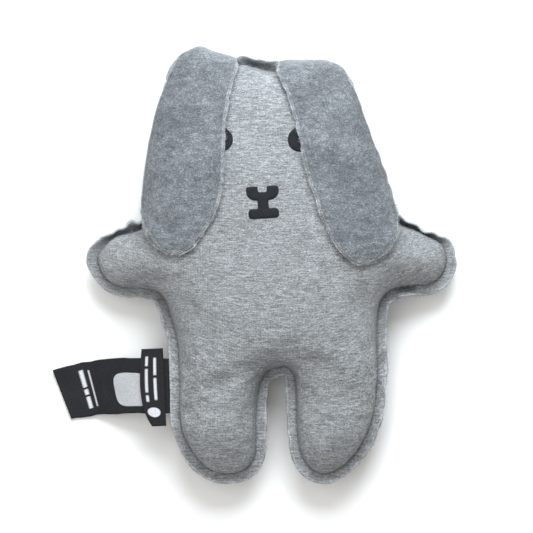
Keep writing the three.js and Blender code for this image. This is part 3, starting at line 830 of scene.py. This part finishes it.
def surface_detail(points, normals):
    """How far the cover is moved along its normals: stitch dimples, gathers from the seam, creases and
    soft lumps of the filling."""
    near, distance = nearest_on(points[:, :2], fine_seam)
    travel = seam_travel[near]
    side = np.sign(normals[:, 2])
    pull = np.exp(-distance / 1.9) * (0.5 + 0.5 * np.cos(2 * math.pi * travel / STITCH_PITCH))
    gather = wander(travel + 500 * (side < 0), 7.5, 3) * bell(distance, 6.5, 1.4)
    gather += 0.7 * wander(travel + 500 * (side < 0), 3.8, 4) * bell(distance, 3.5, 1.3)
    moved = -0.2 * pull + 0.34 * gather * smoothstep(distance, 0.3, 2.0)
    moved += 0.42 * lumps(points, 34, 11) * smoothstep(distance, 2, 12)
    moved += 0.12 * lumps(points, 12, 12) * smoothstep(distance, 2, 8)
    front = smoothstep(normals[:, 2], 0.0, 0.4)
    for (x, y), reach, bend, rise, depth, seed in CREASES:
        across = points[:, 1] - y - bend * (points[:, 0] - x) ** 2 - rise * (points[:, 0] - x)
        across += 0.5 * wander(points[:, 0], 6, seed)
        fade = bell(points[:, 0] - x, reach, 4)
        moved -= front * fade * depth * bell(across, 0.9)
        moved += front * fade * 0.5 * depth * bell(np.abs(across) - 2.1, 1.3)
    return np.clip(moved, -1.1, 1.2)


def mark_pale_edge_and_highlight(thing, strength):
    # pale raw edges, and in places a painted highlight
    attribute = thing.data.attributes.new("raw_edge", "FLOAT", "POINT")
    attribute.data.foreach_set("value", np.clip(strength, 0, 1))


def mark_cloth(thing, extra_shade=0.0):
    """Gives the jersey its knit directions, which sag between the legs and arms, and painted shade along the
    seam, with any extra painted shade added.
    """
    p = positions(thing)
    x, y = p[:, 0], p[:, 1]
    sag = 7 * ((x - 3) / 40) ** 2 * bell(y + 24, 20)
    sag += 9 * smoothstep(np.abs(x), 50, 80) * bell(y - 14, 22)
    knit = np.column_stack([x, y - sag, p[:, 2]])
    distance = nearest_on(p[:, :2], fine_seam)[1]
    # painted shade: a dark line along the seam, where shade falls in its crease
    painted_seam_shade = 0.4 * bell(distance, 0.55) + 0.08 * bell(distance, 1.5)
    painted_seam_shade = painted_seam_shade + extra_shade
    mesh = thing.data
    mesh.attributes.new("knit", "FLOAT_VECTOR", "POINT").data.foreach_set("vector", (knit * MM).ravel())
    mesh.attributes.new("painted_seam_shade", "FLOAT", "POINT").data.foreach_set("value", np.clip(painted_seam_shade, 0, 1))


def build_cover(material):
    """The stuffed body: two sheets of jersey joined at the seam, swelled by the filling."""
    points, first, triangles = body_layout()
    ring_count = len(cover_ring)
    held = (first >= 0) & (first < ring_count)
    swelling = np.sqrt(membrane(points, triangles, held))
    rise = FILL_LIMIT * (1 - np.exp(-FILL_STEEPNESS * swelling / FILL_LIMIT))
    plane, gap = seam_plane(points), half_gap(points)
    distance = nearest_on(points, fine_seam)[1]
    cloth = 0.75 + 0.45 * smoothstep(distance, 0, 3)
    front = np.column_stack([points, plane + gap + cloth + rise])
    back = np.column_stack([points, np.maximum(FLOOR_GAP, plane - gap - cloth - rise)])
    count = len(points)
    faces, order = pair_faces(triangles, first, ring_count, count)
    cover = make_object("body_cover", np.vstack([front, back]), faces, material)
    fix_normals(cover)
    start = positions(cover)
    normals = mesh_normals(cover)
    moved = simulate_cloth(cover, np.concatenate([order, order + count])) - start
    outward = (moved * normals).sum(axis=1, keepdims=True)
    swell = np.clip(outward, *SWELL_RANGE)
    sideways = (moved - outward * normals) * SLIDE_SHARE
    length = np.linalg.norm(sideways, axis=1, keepdims=True)
    sideways *= np.minimum(1, SLIDE_LIMIT / np.maximum(length, 1e-9))
    set_positions(cover, start + swell * normals + sideways)
    subdivide(cover)
    p, n = positions(cover), mesh_normals(cover)
    p = p + n * surface_detail(p, n)[:, None]
    p[:, 2] = np.maximum(p[:, 2], LEAST_FLOOR_GAP)
    set_positions(cover, p)
    mark_cloth(cover)
    return cover


def build_filling(cover, material):
    """The fibre filling: the cover's own shape, a little smaller, with soft tufts."""
    faces = [tuple(face.vertices) for face in cover.data.polygons]
    filling = make_object("loose_fibre_filling", positions(cover), faces, material)
    p, n = positions(filling), mesh_normals(filling)
    near, distance = nearest_on(p[:, :2], fine_seam)
    tufts = 0.3 * (1 + lumps(p, 9, 14)) * smoothstep(distance, 3, 8)
    inset = 0.5 + 2.0 * smoothstep(distance, 0, 6) + tufts
    moved = p - n * inset[:, None]
    moved[:, :2] -= seam_outward[near] * (1.3 * np.exp(-distance / 2))[:, None]
    set_positions(filling, moved)
    return filling


# ---- The seam allowance outside the seam ----

def flange_grid(side):
    """Rows round the seam of points from under the crease to the raw edge."""
    p = fine_seam
    free = 1 - np.max([edge.nearness(p, 6) for edge in sewn_edges[:2]], axis=0)
    held = 1 - label_edge.nearness(p, 5)
    uneven = 0.13 * wander(seam_travel, 9, 31) + 0.08 * wander(seam_travel, 3.2, 32 + side)
    width = allowance_at(p) * (1 + held * uneven)
    for place, reach, extra in WIDE_SPOTS:
        width += extra * near_spot(p, place, reach)
    curl = 0.20 * wander(seam_travel, 13, 33) + 0.24 * wander(seam_travel, 4.6, 34)
    for place, reach, angle in CURLS:
        curl += angle * near_spot(p, place, reach) * (1 + 0.22 * wander(seam_travel, 4.5, 35))
    curl *= free * (0.25 + 0.75 * held)
    split = 0.12 * (1 + wander(seam_travel, 6, 36)) * free
    shares = np.linspace(FLANGE_START, 1, 11)
    out = shares[0] * width
    lift = np.zeros(len(p))
    rows = []
    previous = shares[0]
    for share in shares:
        angle = curl * (smoothstep(share, 0.0, 0.45) + 0.25 * max(share, 0))
        out = out + np.cos(angle) * (share - previous) * width
        lift = lift + np.sin(angle) * (share - previous) * width
        previous = share
        z = seam_plane(p) + side * (half_gap(p) + FLANGE_CLOTH / 2 + split * max(share, 0) ** 2) + lift
        rows.append(np.column_stack([p + seam_outward * out[:, None], z]))
    return np.stack(rows, axis=1), shares


def build_flange(name, side, material):
    """The seam allowance of one panel: side is 1 in front and -1 behind."""
    grid, shares = flange_grid(side)
    vertices, faces = ring_shell(grid, FLANGE_CLOTH, round_edge=0.15)
    vertices[:, 2] += 0.10 * lumps(vertices, 3.0, 41 + side)
    flange = make_object(name, vertices, faces, material)
    fix_normals(flange)
    rows = len(grid)
    share = np.concatenate([np.tile(shares, 2 * rows), np.full(rows, shares[0]), np.full(rows, shares[-1])])
    tucked = np.zeros(len(vertices))
    if side > 0:
        for place, reach, angle in CURLS:
            if angle > 0.6:
                tucked += near_spot(vertices, place, reach)
    # painted shade on the front allowance where it curls up most: dark from under the seam to about its
    # middle, none near the raw edge
    mark_cloth(flange, 0.8 * np.clip(tucked, 0, 1) * (1 - smoothstep(share, 0.5, 0.75)))
    # a paler raw edge along the rim, paler still where it curls up most: a painted highlight on the lit rims
    mark_pale_edge_and_highlight(flange, (0.55 + 0.4 * np.clip(tucked, 0, 1)) * smoothstep(share, 0.72, 0.95))
    return flange, grid


def tubes(paths, radius, sides=6):
    """Round threads with pointed ends, one for each path of points."""
    vertices, faces = [], []
    for path in paths:
        tangent = unit(np.gradient(path, axis=0))
        side = unit(np.cross(tangent, UP))
        top = unit(np.cross(side, tangent))
        first = len(vertices)
        count = len(path)
        for i in range(count):
            swell = radius * (0.35 if i in (0, count - 1) else 1)
            for k in range(sides):
                a = 2 * math.pi * k / sides
                vertices.append(path[i] + swell * (math.cos(a) * side[i] + math.sin(a) * top[i]))
        for i in range(count - 1):
            for k in range(sides):
                m = (k + 1) % sides
                a, b = first + i * sides, first + (i + 1) * sides
                faces.append((a + k, b + k, b + m, a + m))
        faces.append(tuple(first + k for k in range(sides)))
        faces.append(tuple(first + (count - 1) * sides + k for k in reversed(range(sides))))
    return np.array(vertices), faces


def build_stitches(name, line, normals, material, pitch, length, lift):
    """Separate stitches along a line, each a short arch that dips into the cloth at both ends."""
    travelled = distances_along(line)
    paths = []
    for start in np.arange(0.6, travelled[-1] - length, pitch):
        at = np.linspace(start, start + length, 6)
        p = cut_line(line, travelled, at)
        n = unit(cut_line(normals, travelled, at))
        arch = np.sin(np.linspace(0, math.pi, 6))[:, None]
        paths.append(p + n * (lift * arch - STITCH_DIP * (1 - arch)))
    vertices, faces = tubes(paths, THREAD_RADIUS)
    thing = make_object(name, vertices, faces, material)
    fix_normals(thing)
    return thing


def build_fuzz(name, places, ways, length, rng, material):
    """Short loose fibres that stick out of a raw edge."""
    ways = unit(ways)
    bends = 0.5 * rng.normal(size=ways.shape)
    lengths = length * rng.uniform(0.35, 1.0, len(ways))
    paths = []
    for place, way, bend, reach in zip(places, ways, bends, lengths):
        paths.append(np.array([place + (way * t + bend * t * t) * reach for t in (-0.25, 0.3, 0.7, 1.0)]))
    vertices, faces = tubes(paths, FIBRE_RADIUS, sides=3)
    return make_object(name, vertices, faces, material)


# ---- What lies on the front ----

class Heights:
    """A piece's front height on a square grid, with its tight curves bridged over on request."""

    CELL = 1.5
    MARGIN = 12

    def __init__(self, thing):
        self.low = fine_seam.min(axis=0) - self.MARGIN
        high = fine_seam.max(axis=0) + self.MARGIN
        self.shape = np.ceil((high - self.low) / self.CELL).astype(int) + 1
        tree = BVHTree.FromObject(thing, bpy.context.evaluated_depsgraph_get())
        self.field = np.zeros(self.shape)
        for i in range(self.shape[0]):
            for j in range(self.shape[1]):
                x, y = self.low + np.array([i, j]) * self.CELL
                hit = tree.ray_cast(Vector((x * MM, y * MM, 0.2)), Vector((0, 0, -1)))[0]
                if hit is not None:
                    self.field[i, j] = hit.z / MM

    def bridged(self, radius, reach=7):
        """The height of a cloth that bends no tighter than the radius and lies on the piece."""
        rows, columns = self.shape
        top = self.field.copy()
        padded = np.pad(self.field, reach)
        for di in range(-reach, reach + 1):
            for dj in range(-reach, reach + 1):
                drop = (di * di + dj * dj) * self.CELL**2 / (2 * radius)
                window = padded[reach + di : reach + di + rows, reach + dj : reach + dj + columns]
                top = np.maximum(top, window - drop)
        return top

    def at(self, field, p):
        """The field's value at each point, between the four cells round it."""
        cell = np.clip((p[..., :2] - self.low) / self.CELL, 0, self.shape - 1.001)
        i, j = np.moveaxis(np.floor(cell).astype(int), -1, 0)
        t, u = np.moveaxis(cell % 1, -1, 0)
        near = field[i, j] * (1 - t) + field[i + 1, j] * t
        far = field[i, j + 1] * (1 - t) + field[i + 1, j + 1] * t
        return near * (1 - u) + far * u


def blur(field, rounds):
    for _ in range(rounds):
        tall = np.pad(field, ((1, 1), (0, 0)), mode="edge")
        tall = tall[:-2] + 2 * tall[1:-1] + tall[2:]
        wide = np.pad(tall, ((0, 0), (1, 1)), mode="edge")
        field = (wide[:, :-2] + 2 * wide[:, 1:-1] + wide[:, 2:]) / 16
    return field


def circle_outline(centre, radius, count=64):
    a = np.linspace(0, 2 * math.pi, count, endpoint=False)
    return np.array(centre) + radius * np.stack([np.cos(a), np.sin(a)], axis=1)


def nose_outline():
    """A bar, a short stem and two lobes with a notch between them, in one piece."""
    bar, bar_low, bar_high, bar_round = 7.6, -8.6, -3.6, 1.9
    stem = 2.7
    lobe, lobe_low, lobe_high, lobe_round, lobe_top_round = 8.1, 0.5, 7.5, 4.6, 1.2
    notch, notch_low, notch_round = 2.2, 4.5, 1.0
    turn = 0.06

    def corner(x, y, start, radius):
        a = np.linspace(start, start + math.pi / 2, 9)
        return [(x + radius * math.cos(t), y + radius * math.sin(t)) for t in a]

    right = corner(bar - bar_round, bar_low + bar_round, -math.pi / 2, bar_round)
    right += corner(bar - bar_round, bar_high - bar_round, 0, bar_round)
    right += [(stem + 0.3, bar_high), (stem, bar_high + 0.4), (stem, lobe_low - 0.4), (stem + 0.3, lobe_low)]
    right += corner(lobe - lobe_round, lobe_low + lobe_round, -math.pi / 2, lobe_round)
    right += corner(lobe - lobe_top_round, lobe_high - lobe_top_round, 0, lobe_top_round)
    right += corner(notch + 0.8, lobe_high - 0.8, math.pi / 2, 0.8)
    right += [(notch, notch_low + notch_round), (notch - 0.3 * notch_round, notch_low + 0.3 * notch_round)]
    right += [(notch - notch_round, notch_low)]
    points = np.array(right + [(-x, y) for x, y in reversed(right)])
    spin = np.array([[math.cos(turn), math.sin(turn)], [-math.sin(turn), math.cos(turn)]])
    outline = np.vstack([points, points[:1]])
    travelled = distances_along(outline)
    even = cut_line(outline, travelled, np.arange(0, travelled[-1] - 0.2, 0.45))
    return even @ spin + np.array(NOSE_CENTRE)


def build_patch(name, outline, heights, material):
    """A thin flock patch on the cover with a rounded edge and a slightly uneven outline."""
    around = np.arange(len(outline)) * 0.6
    middle = outline.mean(axis=0)
    outline = outline + unit(outline - middle) * (0.09 * wander(around, 1.6, len(outline)))[:, None]
    flat = np.vstack([outline, grid_points(outline, PATCH_STEP, PATCH_MARGIN)])
    points, first, triangles = triangulate(flat, len(outline))
    edge_distance = nearest_on(points, outline)[1]
    ground = heights.at(heights.field, points)
    over = ground + PATCH_EDGE_HEIGHT + PATCH_CROWN * np.sqrt(np.clip(edge_distance / PATCH_ROUND, 0, 1))
    under = ground - PATCH_DEPTH
    faces, _ = pair_faces(triangles, first, len(outline), len(points))
    vertices = np.vstack([np.column_stack([points, over]), np.column_stack([points, under])])
    patch = make_object(name, vertices, faces, material)
    fix_normals(patch)
    return patch


# ---- Ears ----

def blend_at_fold(piece):
    """Bakes the piece's placement into its mesh."""
    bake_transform(piece)


# How far each ear's fold is tucked in at its left and right corners, and how far it bulges out between.
def ear_on_face(side, heights, drape):
    """The middle surface of the part that lies on the face, a row at a time from the fold to the tip."""
    seed = EAR_SEEDS[side][0]
    left, right = (smooth_line(points, count=EAR_ROWS) for points in EAR_EDGES[side])
    shares = np.linspace(0, 1, EAR_COLUMNS + 1)
    travel = np.linspace(0, EAR_LENGTH, EAR_ROWS)
    run = unit(right - left)
    left = left - run * (0.35 * wander(travel, 5, seed) + 0.3 * wander(travel, 11, seed + 1))[:, None]
    right = right + run * (0.35 * wander(travel, 4.5, seed + 2) + 0.3 * wander(travel, 12, seed + 3))[:, None]
    flat = left[:, None] * (1 - shares[None, :, None]) + right[:, None] * shares[None, :, None]
    z = heights.at(drape, flat) + 0.75 + EAR_HALF
    z += 0.45 * (lumps(flat.reshape(-1, 2), 30, seed + 4).reshape(z.shape) + 1)
    rim = np.minimum(shares, 1 - shares)[None, :] * np.linalg.norm(right - left, axis=1)[:, None]
    rim = np.minimum(rim, (EAR_LENGTH - travel)[:, None] * 0.95)
    z += 0.30 * (wander(travel, 8, seed + 5)[:, None] + 1) * np.exp(-rim / 4)
    return np.dstack([flat, z])


def ear_grid(side, heights, drape):
    """The ear's middle surface: sewn-in end, fold over the head's edge, and the part on the face."""
    edge = ears[side]
    lying = ear_on_face(side, heights, drape)
    shares = np.linspace(0, 1, EAR_COLUMNS + 1)
    out = np.append(edge.outward, 0)
    soft_left, soft_right, bulge = EAR_CORNERS[side]
    corner = soft_left * bell(shares * edge.length, 2.6)
    corner += soft_right * bell((1 - shares) * edge.length, 2.6)
    corner -= bulge * bell(shares - 0.22, 0.2)
    hook = []
    for j, share in enumerate(shares):
        end = lying[0, j]
        onward = unit(lying[3, j] - end)
        root = np.append(edge.point(edge.length * share, EAR_FOLD), SEAM_HEIGHT)
        inside = root - out * (EAR_FOLD - EAR_TAB)
        bend = root - out * TURN_RADIUS
        path = [inside + (bend - inside) * t for t in np.linspace(0, 1, TAB_ROWS)]
        for a in np.linspace(0, math.pi / 2, TURN_ROWS + 1)[1:]:
            tucked = out * corner[j] * math.sin(a) ** 2
            turned = out * math.sin(a) + UP * (1 - math.cos(a))
            path.append(bend + TURN_RADIUS * turned - tucked)
        start = path[-1]
        rise = start + UP * 0.62 * (end[2] - start[2])
        over = end - onward * 6.2
        for t in np.linspace(0, 1, HOOK_ROWS + 1)[1:-1]:
            u = 1 - t
            place = u**3 * start + 3 * u**2 * t * rise + 3 * u * t**2 * over + t**3 * end
            path.append(place - UP * 0.35 * corner[j] * math.sin(math.pi * t))
        hook.append(path)
    return np.vstack([np.array(hook).transpose(1, 0, 2), lying])


class EarShape:
    """The surfaces of an ear's two cloths, and where each of their points lies on the ear."""

    def __init__(self, side, heights, drape):
        self.seed = EAR_SEEDS[side][1]
        self.grid = grid = ear_grid(side, heights, drape)
        self.rows, self.columns = grid.shape[:2]
        self.normals = normals = grid_normals(grid)
        self.widths = np.linalg.norm(grid[:, -1] - grid[:, 0], axis=1)
        self.travel = distances_along(grid[:, EAR_COLUMNS // 2])
        self.to_tip = self.travel[-1] - self.travel
        shares = np.linspace(0, 1, self.columns)
        from_side = np.minimum(shares, 1 - shares)[None] * self.widths[:, None]
        self.from_edge = np.minimum(from_side, self.to_tip[:, None])
        self.free = smoothstep(np.arange(self.rows), 12, 22)[:, None]
        channel = bell(self.from_edge - EAR_STITCH_INSET, 0.7)
        pinch = (0.42 * channel + 0.40 * np.exp(-self.from_edge / 0.6)) * self.free
        self.outer = grid + normals * (EAR_HALF - pinch)[..., None]
        self.inner = grid + normals * (EAR_GAP / 2)
        self.upper = grid - normals * (EAR_GAP / 2)
        self.lower = grid - normals * (EAR_HALF - 0.5 * pinch)[..., None]
        self.edge_ways = [self.edge_way(0, -1), self.edge_way(-1, 1)]
        self.widen_lining(shares)

    def edge_way(self, column, sign):
        """The directions out of one long edge, in the cloth's plane."""
        sideways = sign * (self.grid[:, -1] - self.grid[:, 0])
        way = unit(np.cross(np.gradient(self.grid[:, column], axis=0), self.normals[:, column]))
        return way * np.sign((way * sideways).sum(axis=1, keepdims=True))

    def widen_lining(self, shares):
        """Lets the lining's raw edges show unevenly past the velour's."""
        from_fold = smoothstep(np.arange(self.rows), 12, 24)
        for k, (share, way) in enumerate(zip((shares, 1 - shares), self.edge_ways)):
            spare = 0.72 + 0.34 * wander(self.travel, 1.7, self.seed + k)
            spare += 0.25 * wander(self.travel, 6, self.seed + 4 + k)
            spare = (spare * from_fold)[:, None, None] * way[:, None]
            spare = spare * np.exp(-share[None, :] * self.widths[:, None] / 1.6)[..., None]
            self.lower, self.upper = self.lower + spare, self.upper + spare

    def on_top(self, row, share):
        """A place on the velour and the direction out of it."""
        x = share * (self.columns - 1)
        j = min(int(x), self.columns - 2)
        t = x - j
        place = self.outer[row, j] * (1 - t) + self.outer[row, j + 1] * t
        return place, unit(self.normals[row, j] * (1 - t) + self.normals[row, j + 1] * t)


def build_ear_layer(name, low, high, pale_reach, shape, material):
    layer = make_object(name, *sheet_shell(low, high), material)
    fix_normals(layer)
    patchy = 0.55 + 0.45 * wander(shape.travel, 1.3, shape.seed + 8)[:, None]
    pale = bell(shape.from_edge, pale_reach) * shape.free * patchy
    # painted highlight: a pale band across the ear just past its fold, whose top faces the light
    pale += 0.30 * bell(shape.travel - EAR_FOLD - 3, 9)[:, None]
    mark_pale_edge_and_highlight(layer, np.tile(pale.ravel(), 2))
    return layer


def build_ear_stitches(name, shape, material):
    """Stitches round the free edges, a little in from the edge."""
    inset = EAR_STITCH_INSET
    first, last = 16, int(np.argmin(np.abs(shape.to_tip - inset)))
    side = inset / shape.widths
    line = [shape.on_top(i, side[i]) for i in range(first, last)]
    line += [shape.on_top(last, share) for share in np.linspace(side[last], 1 - side[last], 12)]
    line += [shape.on_top(i, 1 - side[i]) for i in range(last - 1, first - 1, -1)]
    places, normals = (np.array(values) for values in zip(*line))
    return build_stitches(name, places, normals, material, pitch=3.0, length=2.1, lift=0.16)


def build_ear_fibres(name, shape, material):
    rng = np.random.default_rng(shape.seed)
    places, ways = [], []
    for column, way in zip((0, -1), shape.edge_ways):
        at = rng.uniform(24, shape.rows - 1.001, EAR_FIBRES)
        i = at.astype(int)
        t = (at - i)[:, None]
        on_edge = shape.lower[i, column] * (1 - t) + shape.lower[i + 1, column] * t
        level = rng.uniform(0, 2 * EAR_HALF, EAR_FIBRES)[:, None]
        places.append(on_edge + shape.normals[i, column] * level)
        ways.append(way[i] + 0.55 * rng.normal(size=(EAR_FIBRES, 3)))
    return build_fuzz(name, np.vstack(places), np.vstack(ways), 0.85, rng, material)


def build_ear(side, heights, drape, cloth, lining, stitch, loose):
    name = f"ear_{side}"
    shape = EarShape(side, heights, drape)
    top = build_ear_layer(f"{name}_velour_layer", shape.inner, shape.outer, 0.35, shape, cloth)
    under = build_ear_layer(f"{name}_lining_layer", shape.lower, shape.upper, 0.8, shape, lining)
    stitches = build_ear_stitches(f"{name}_stitches", shape, stitch)
    fibres = build_ear_fibres(f"{name}_raw_edge_fibres", shape, loose)
    edge = ears[side]
    fold = np.append(edge.point(edge.length / 2, EAR_FOLD), SEAM_HEIGHT)
    for piece, slot, nodes in (
        (top, "velour", [f"{name}_velour"]),
        (under, "lining", [f"{name}_lining", f"{name}_seam_tab"]),
        (stitches, "thread", [f"{name}_topstitching"]),
        (fibres, "thread", []),
    ):
        blend_at_fold(piece)
        if nodes:
            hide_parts(*nodes)


# ---- Labels ----

def label_height(out):
    """Height of the long label's middle: level at the seam, down to the table further out."""
    return SEAM_HEIGHT + (LABEL_REST - SEAM_HEIGHT) * smoothstep(out, 0, LABEL_DROP)


def build_strip(name, grid, thickness, material):
    """A tape of one thickness on a grid of points, with its own coordinates for the woven marks."""
    rows, columns = grid.shape[:2]
    reach = grid_normals(grid) * (thickness / 2)
    vertices, faces = sheet_shell(grid - reach, grid + reach)
    u, v = np.meshgrid(np.linspace(0, 1, rows), np.linspace(0, 1, columns), indexing="ij")
    uv = np.stack([u.ravel(), v.ravel()], axis=1)
    strip = make_object(name, vertices, faces, material, uv=np.vstack([uv, uv]))
    fix_normals(strip)
    return strip


def build_long_label(material):
    """A flat woven tape from inside the seam to its free end on the table, with a shallow crease across
    its middle and slightly lifted corners at the free end."""
    edges = []
    for line in LONG_LABEL_EDGES:
        first = np.array(line[0], float)
        out = (first - label_edge.start) @ label_edge.outward
        root = first + label_edge.outward * (LABEL_FOLD - out)
        free = smooth_line([tuple(root)] + line[1:], count=70)
        edges.append(np.vstack([root - label_edge.outward * LABEL_INSIDE, free]))
    for k, (line, side) in enumerate(zip(edges, (1, -1))):
        run = np.arange(len(line)) * 0.85
        line[:, 1] += side * 0.28 * wander(run, 4.2, 72 + k) * smoothstep(run, 6, 14)
    shares = np.linspace(0, 1, 32)
    flat = edges[0][:, None] * (1 - shares[None, :, None]) + edges[1][:, None] * shares[None, :, None]
    out = (flat - label_edge.start) @ label_edge.outward - LABEL_FOLD
    z = label_height(out)
    travel = np.maximum(out, 0)
    z += 0.5 * bell(travel - LABEL_CREASE, 2.2)
    z += 0.7 * smoothstep(travel, *LABEL_LIFT) * (0.6 + 0.5 * np.cos(2 * math.pi * shares))[None, :]
    z += 0.18 * smoothstep(travel, 4, 20) * (lumps(flat.reshape(-1, 2), 16, 71).reshape(z.shape) + 1)
    grid = np.dstack([flat, z])
    label = build_strip("long_label_tape", grid, LABEL_CLOTH, material)
    blend_at_fold(label)
    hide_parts("long_label", "labels_seam_tab")
    return label


def build_short_label(material):
    """A narrow tape folded double: out over the long label, round and back."""
    reach, gap = 10.0, 0.34
    start_out = LABEL_FOLD + 1.6
    above = 1.35  # its middle over the long label's
    root = -0.03
    profile = [(r, gap) for r in np.linspace(root, 1, 14)]
    profile += [(1 + gap * math.sin(a) / reach, gap * math.cos(a)) for a in np.linspace(0, math.pi, 9)[1:-1]]
    profile += [(r, -gap) for r in np.linspace(1, root, 14)]
    first, last = (np.array(p, float) for p in SHORT_LABEL_SPAN)
    shares = np.linspace(0, 1, 44)
    grid = []
    for r, side in profile:
        row = []
        for share in shares:
            base = first + (last - first) * share
            out = (base - label_edge.start) @ label_edge.outward
            away = r * (reach + 1.5 * math.sin(math.pi * share) - 3.6 * share**6)
            bulge = math.sin(2 * math.pi * share) ** 2
            p = base + label_edge.outward * (start_out - out + away)
            z = label_height(1.6 + max(away, 0)) + above + side + 0.35 * bulge * max(r, 0) ** 2
            row.append((p[0], p[1], z))
        grid.append(row)
    label = build_strip("short_label_tape", np.array(grid), SHORT_LABEL_CLOTH, material)
    blend_at_fold(label)
    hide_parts("short_label")
    return label


# ---- Put together ----

body_jersey = jersey("heather_jersey")
edge_jersey = jersey("jersey_raw_edge", light=1.12)
ear_velour = velour("brushed_velour")
ear_lining = velour("ear_lining_velour", light=1.3)
black_flock = flock("black_flock")
grey_thread = thread("grey_thread", light=0.6)
ear_thread = thread("ear_thread", light=0.55)
edge_thread = thread("loose_edge_thread", light=1.3)

cover = build_cover(body_jersey)
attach(cover, "body")
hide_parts("front_body_panel", "back_body_panel")


def add_seam_allowance(name, side, thread_node):
    """One panel's seam allowance with its stitches and the loose fibres of its raw edge."""
    flange, rows = build_flange(name, side, edge_jersey)
    up = grid_normals(rows, loop=True)[:, 2]
    up = up * np.sign(up[:, 2:3]) * side
    line = rows[:, 2] + up * (FLANGE_CLOTH / 2)
    rng = np.random.default_rng(45 + side)
    spots = rng.integers(0, len(rows), FLANGE_FIBRES)
    spots = spots[label_edge.nearness(fine_seam[spots]) < 0.1]
    edge_way = unit(rows[:, -1] - rows[:, -2])
    places = rows[spots, -1] + rng.uniform(-0.45, 0.45, (len(spots), 3))
    ways = edge_way[spots] + 0.6 * rng.normal(size=(len(spots), 3))
    fibres = build_fuzz(f"{name}_fibres", places, ways, 0.8, rng, edge_thread)
    stitches = build_stitches(
        f"{name}_stitches", np.vstack([line, line[:1]]), np.vstack([up, up[:1]]), grey_thread,
        pitch=STITCH_PITCH, length=2.3, lift=0.15,
    )
    for piece, slot in ((flange, "jersey"), (fibres, "thread"), (stitches, "thread")):
        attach(piece, "body")
    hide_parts(thread_node)


add_seam_allowance("seam_allowance_front", 1, "seam_needle_thread")
add_seam_allowance("seam_allowance_back", -1, "seam_bobbin_thread")

heights = Heights(cover)
for patch_name, patch_outline, patch_node in (
    ("eye_left_flock", circle_outline(EYES["left"], EYE_RADIUS), "eye_left"),
    ("eye_right_flock", circle_outline(EYES["right"], EYE_RADIUS), "eye_right"),
    ("nose_mouth_flock", nose_outline(), "nose_mouth_patch"),
):
    patch = build_patch(patch_name, patch_outline, heights, black_flock)
    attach(patch, "body")
    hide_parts(patch_node)

drape = blur(heights.bridged(DRAPE_RADIUS), 3)
for ear_side in ("left", "right"):
    build_ear(ear_side, heights, drape, ear_velour, ear_lining, ear_thread, edge_thread)

build_long_label(woven_label("long_label_weave", long_marks))
build_short_label(woven_label("short_label_weave", short_marks))

filling = build_filling(cover, fibre("loose_fibre"))
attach(filling, "body")
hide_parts("fibre_filling")

# ---- Floor, light and camera ----

floor_nodes = Nodes("pale_floor")
floor_speckle = floor_nodes.noise(30, 2)
floor_colour = floor_nodes.ramp(floor_speckle, [(0.3, (0.90, 0.90, 0.90)), (0.7, (0.93, 0.93, 0.93))])
floor_rough = floor_nodes.remap(floor_speckle, 0.3, 0.7, 0.8, 0.9)
floor_material = floor_nodes.finish(floor_colour, floor_speckle, 0.02, floor_rough)
floor_corners = FLOOR_HALF * np.array([(-1, -1, 0), (1, -1, 0), (1, 1, 0), (-1, 1, 0)])
floor = make_object("floor", floor_corners, [(0, 1, 2, 3)], floor_material, smooth=False)


def area_light(name, place, power, size, colour):
    light = bpy.data.lights.new(name, "AREA")
    light.energy, light.size, light.color = power, size, colour
    thing = bpy.data.objects.new(name, light)
    thing.location = place
    thing.rotation_euler = (VIEW_CENTRE - Vector(place)).to_track_quat("-Z", "Y").to_euler()
    bpy.context.scene.collection.objects.link(thing)


area_light("window_light", (0.04, 0.44, 0.42), 6.1, 0.4, (0.89, 0.955, 1.0))
area_light("overhead_light", (-0.35, 0.0, 0.9), 2.8, 0.8, (1.0, 1.0, 1.0))
world = bpy.data.worlds.new("studio")
world.use_nodes = True
background = world.node_tree.nodes["Background"]
background.inputs["Color"].default_value = (1.0, 0.985, 0.95, 1)
background.inputs["Strength"].default_value = 0.57
bpy.context.scene.world = world
bpy.context.scene.view_settings.view_transform = "Standard"

camera = bpy.data.cameras.new("view_camera")
camera.sensor_width = SENSOR_WIDTH
camera.lens = SENSOR_WIDTH * CAMERA_DISTANCE / VIEW_SPAN
camera.clip_start, camera.clip_end = 0.01, 20
camera_thing = bpy.data.objects.new("view_camera", camera)
camera_thing.location = VIEW_CENTRE + Vector((0, 0, CAMERA_DISTANCE))
bpy.context.scene.collection.objects.link(camera_thing)
bpy.context.scene.camera = camera_thing
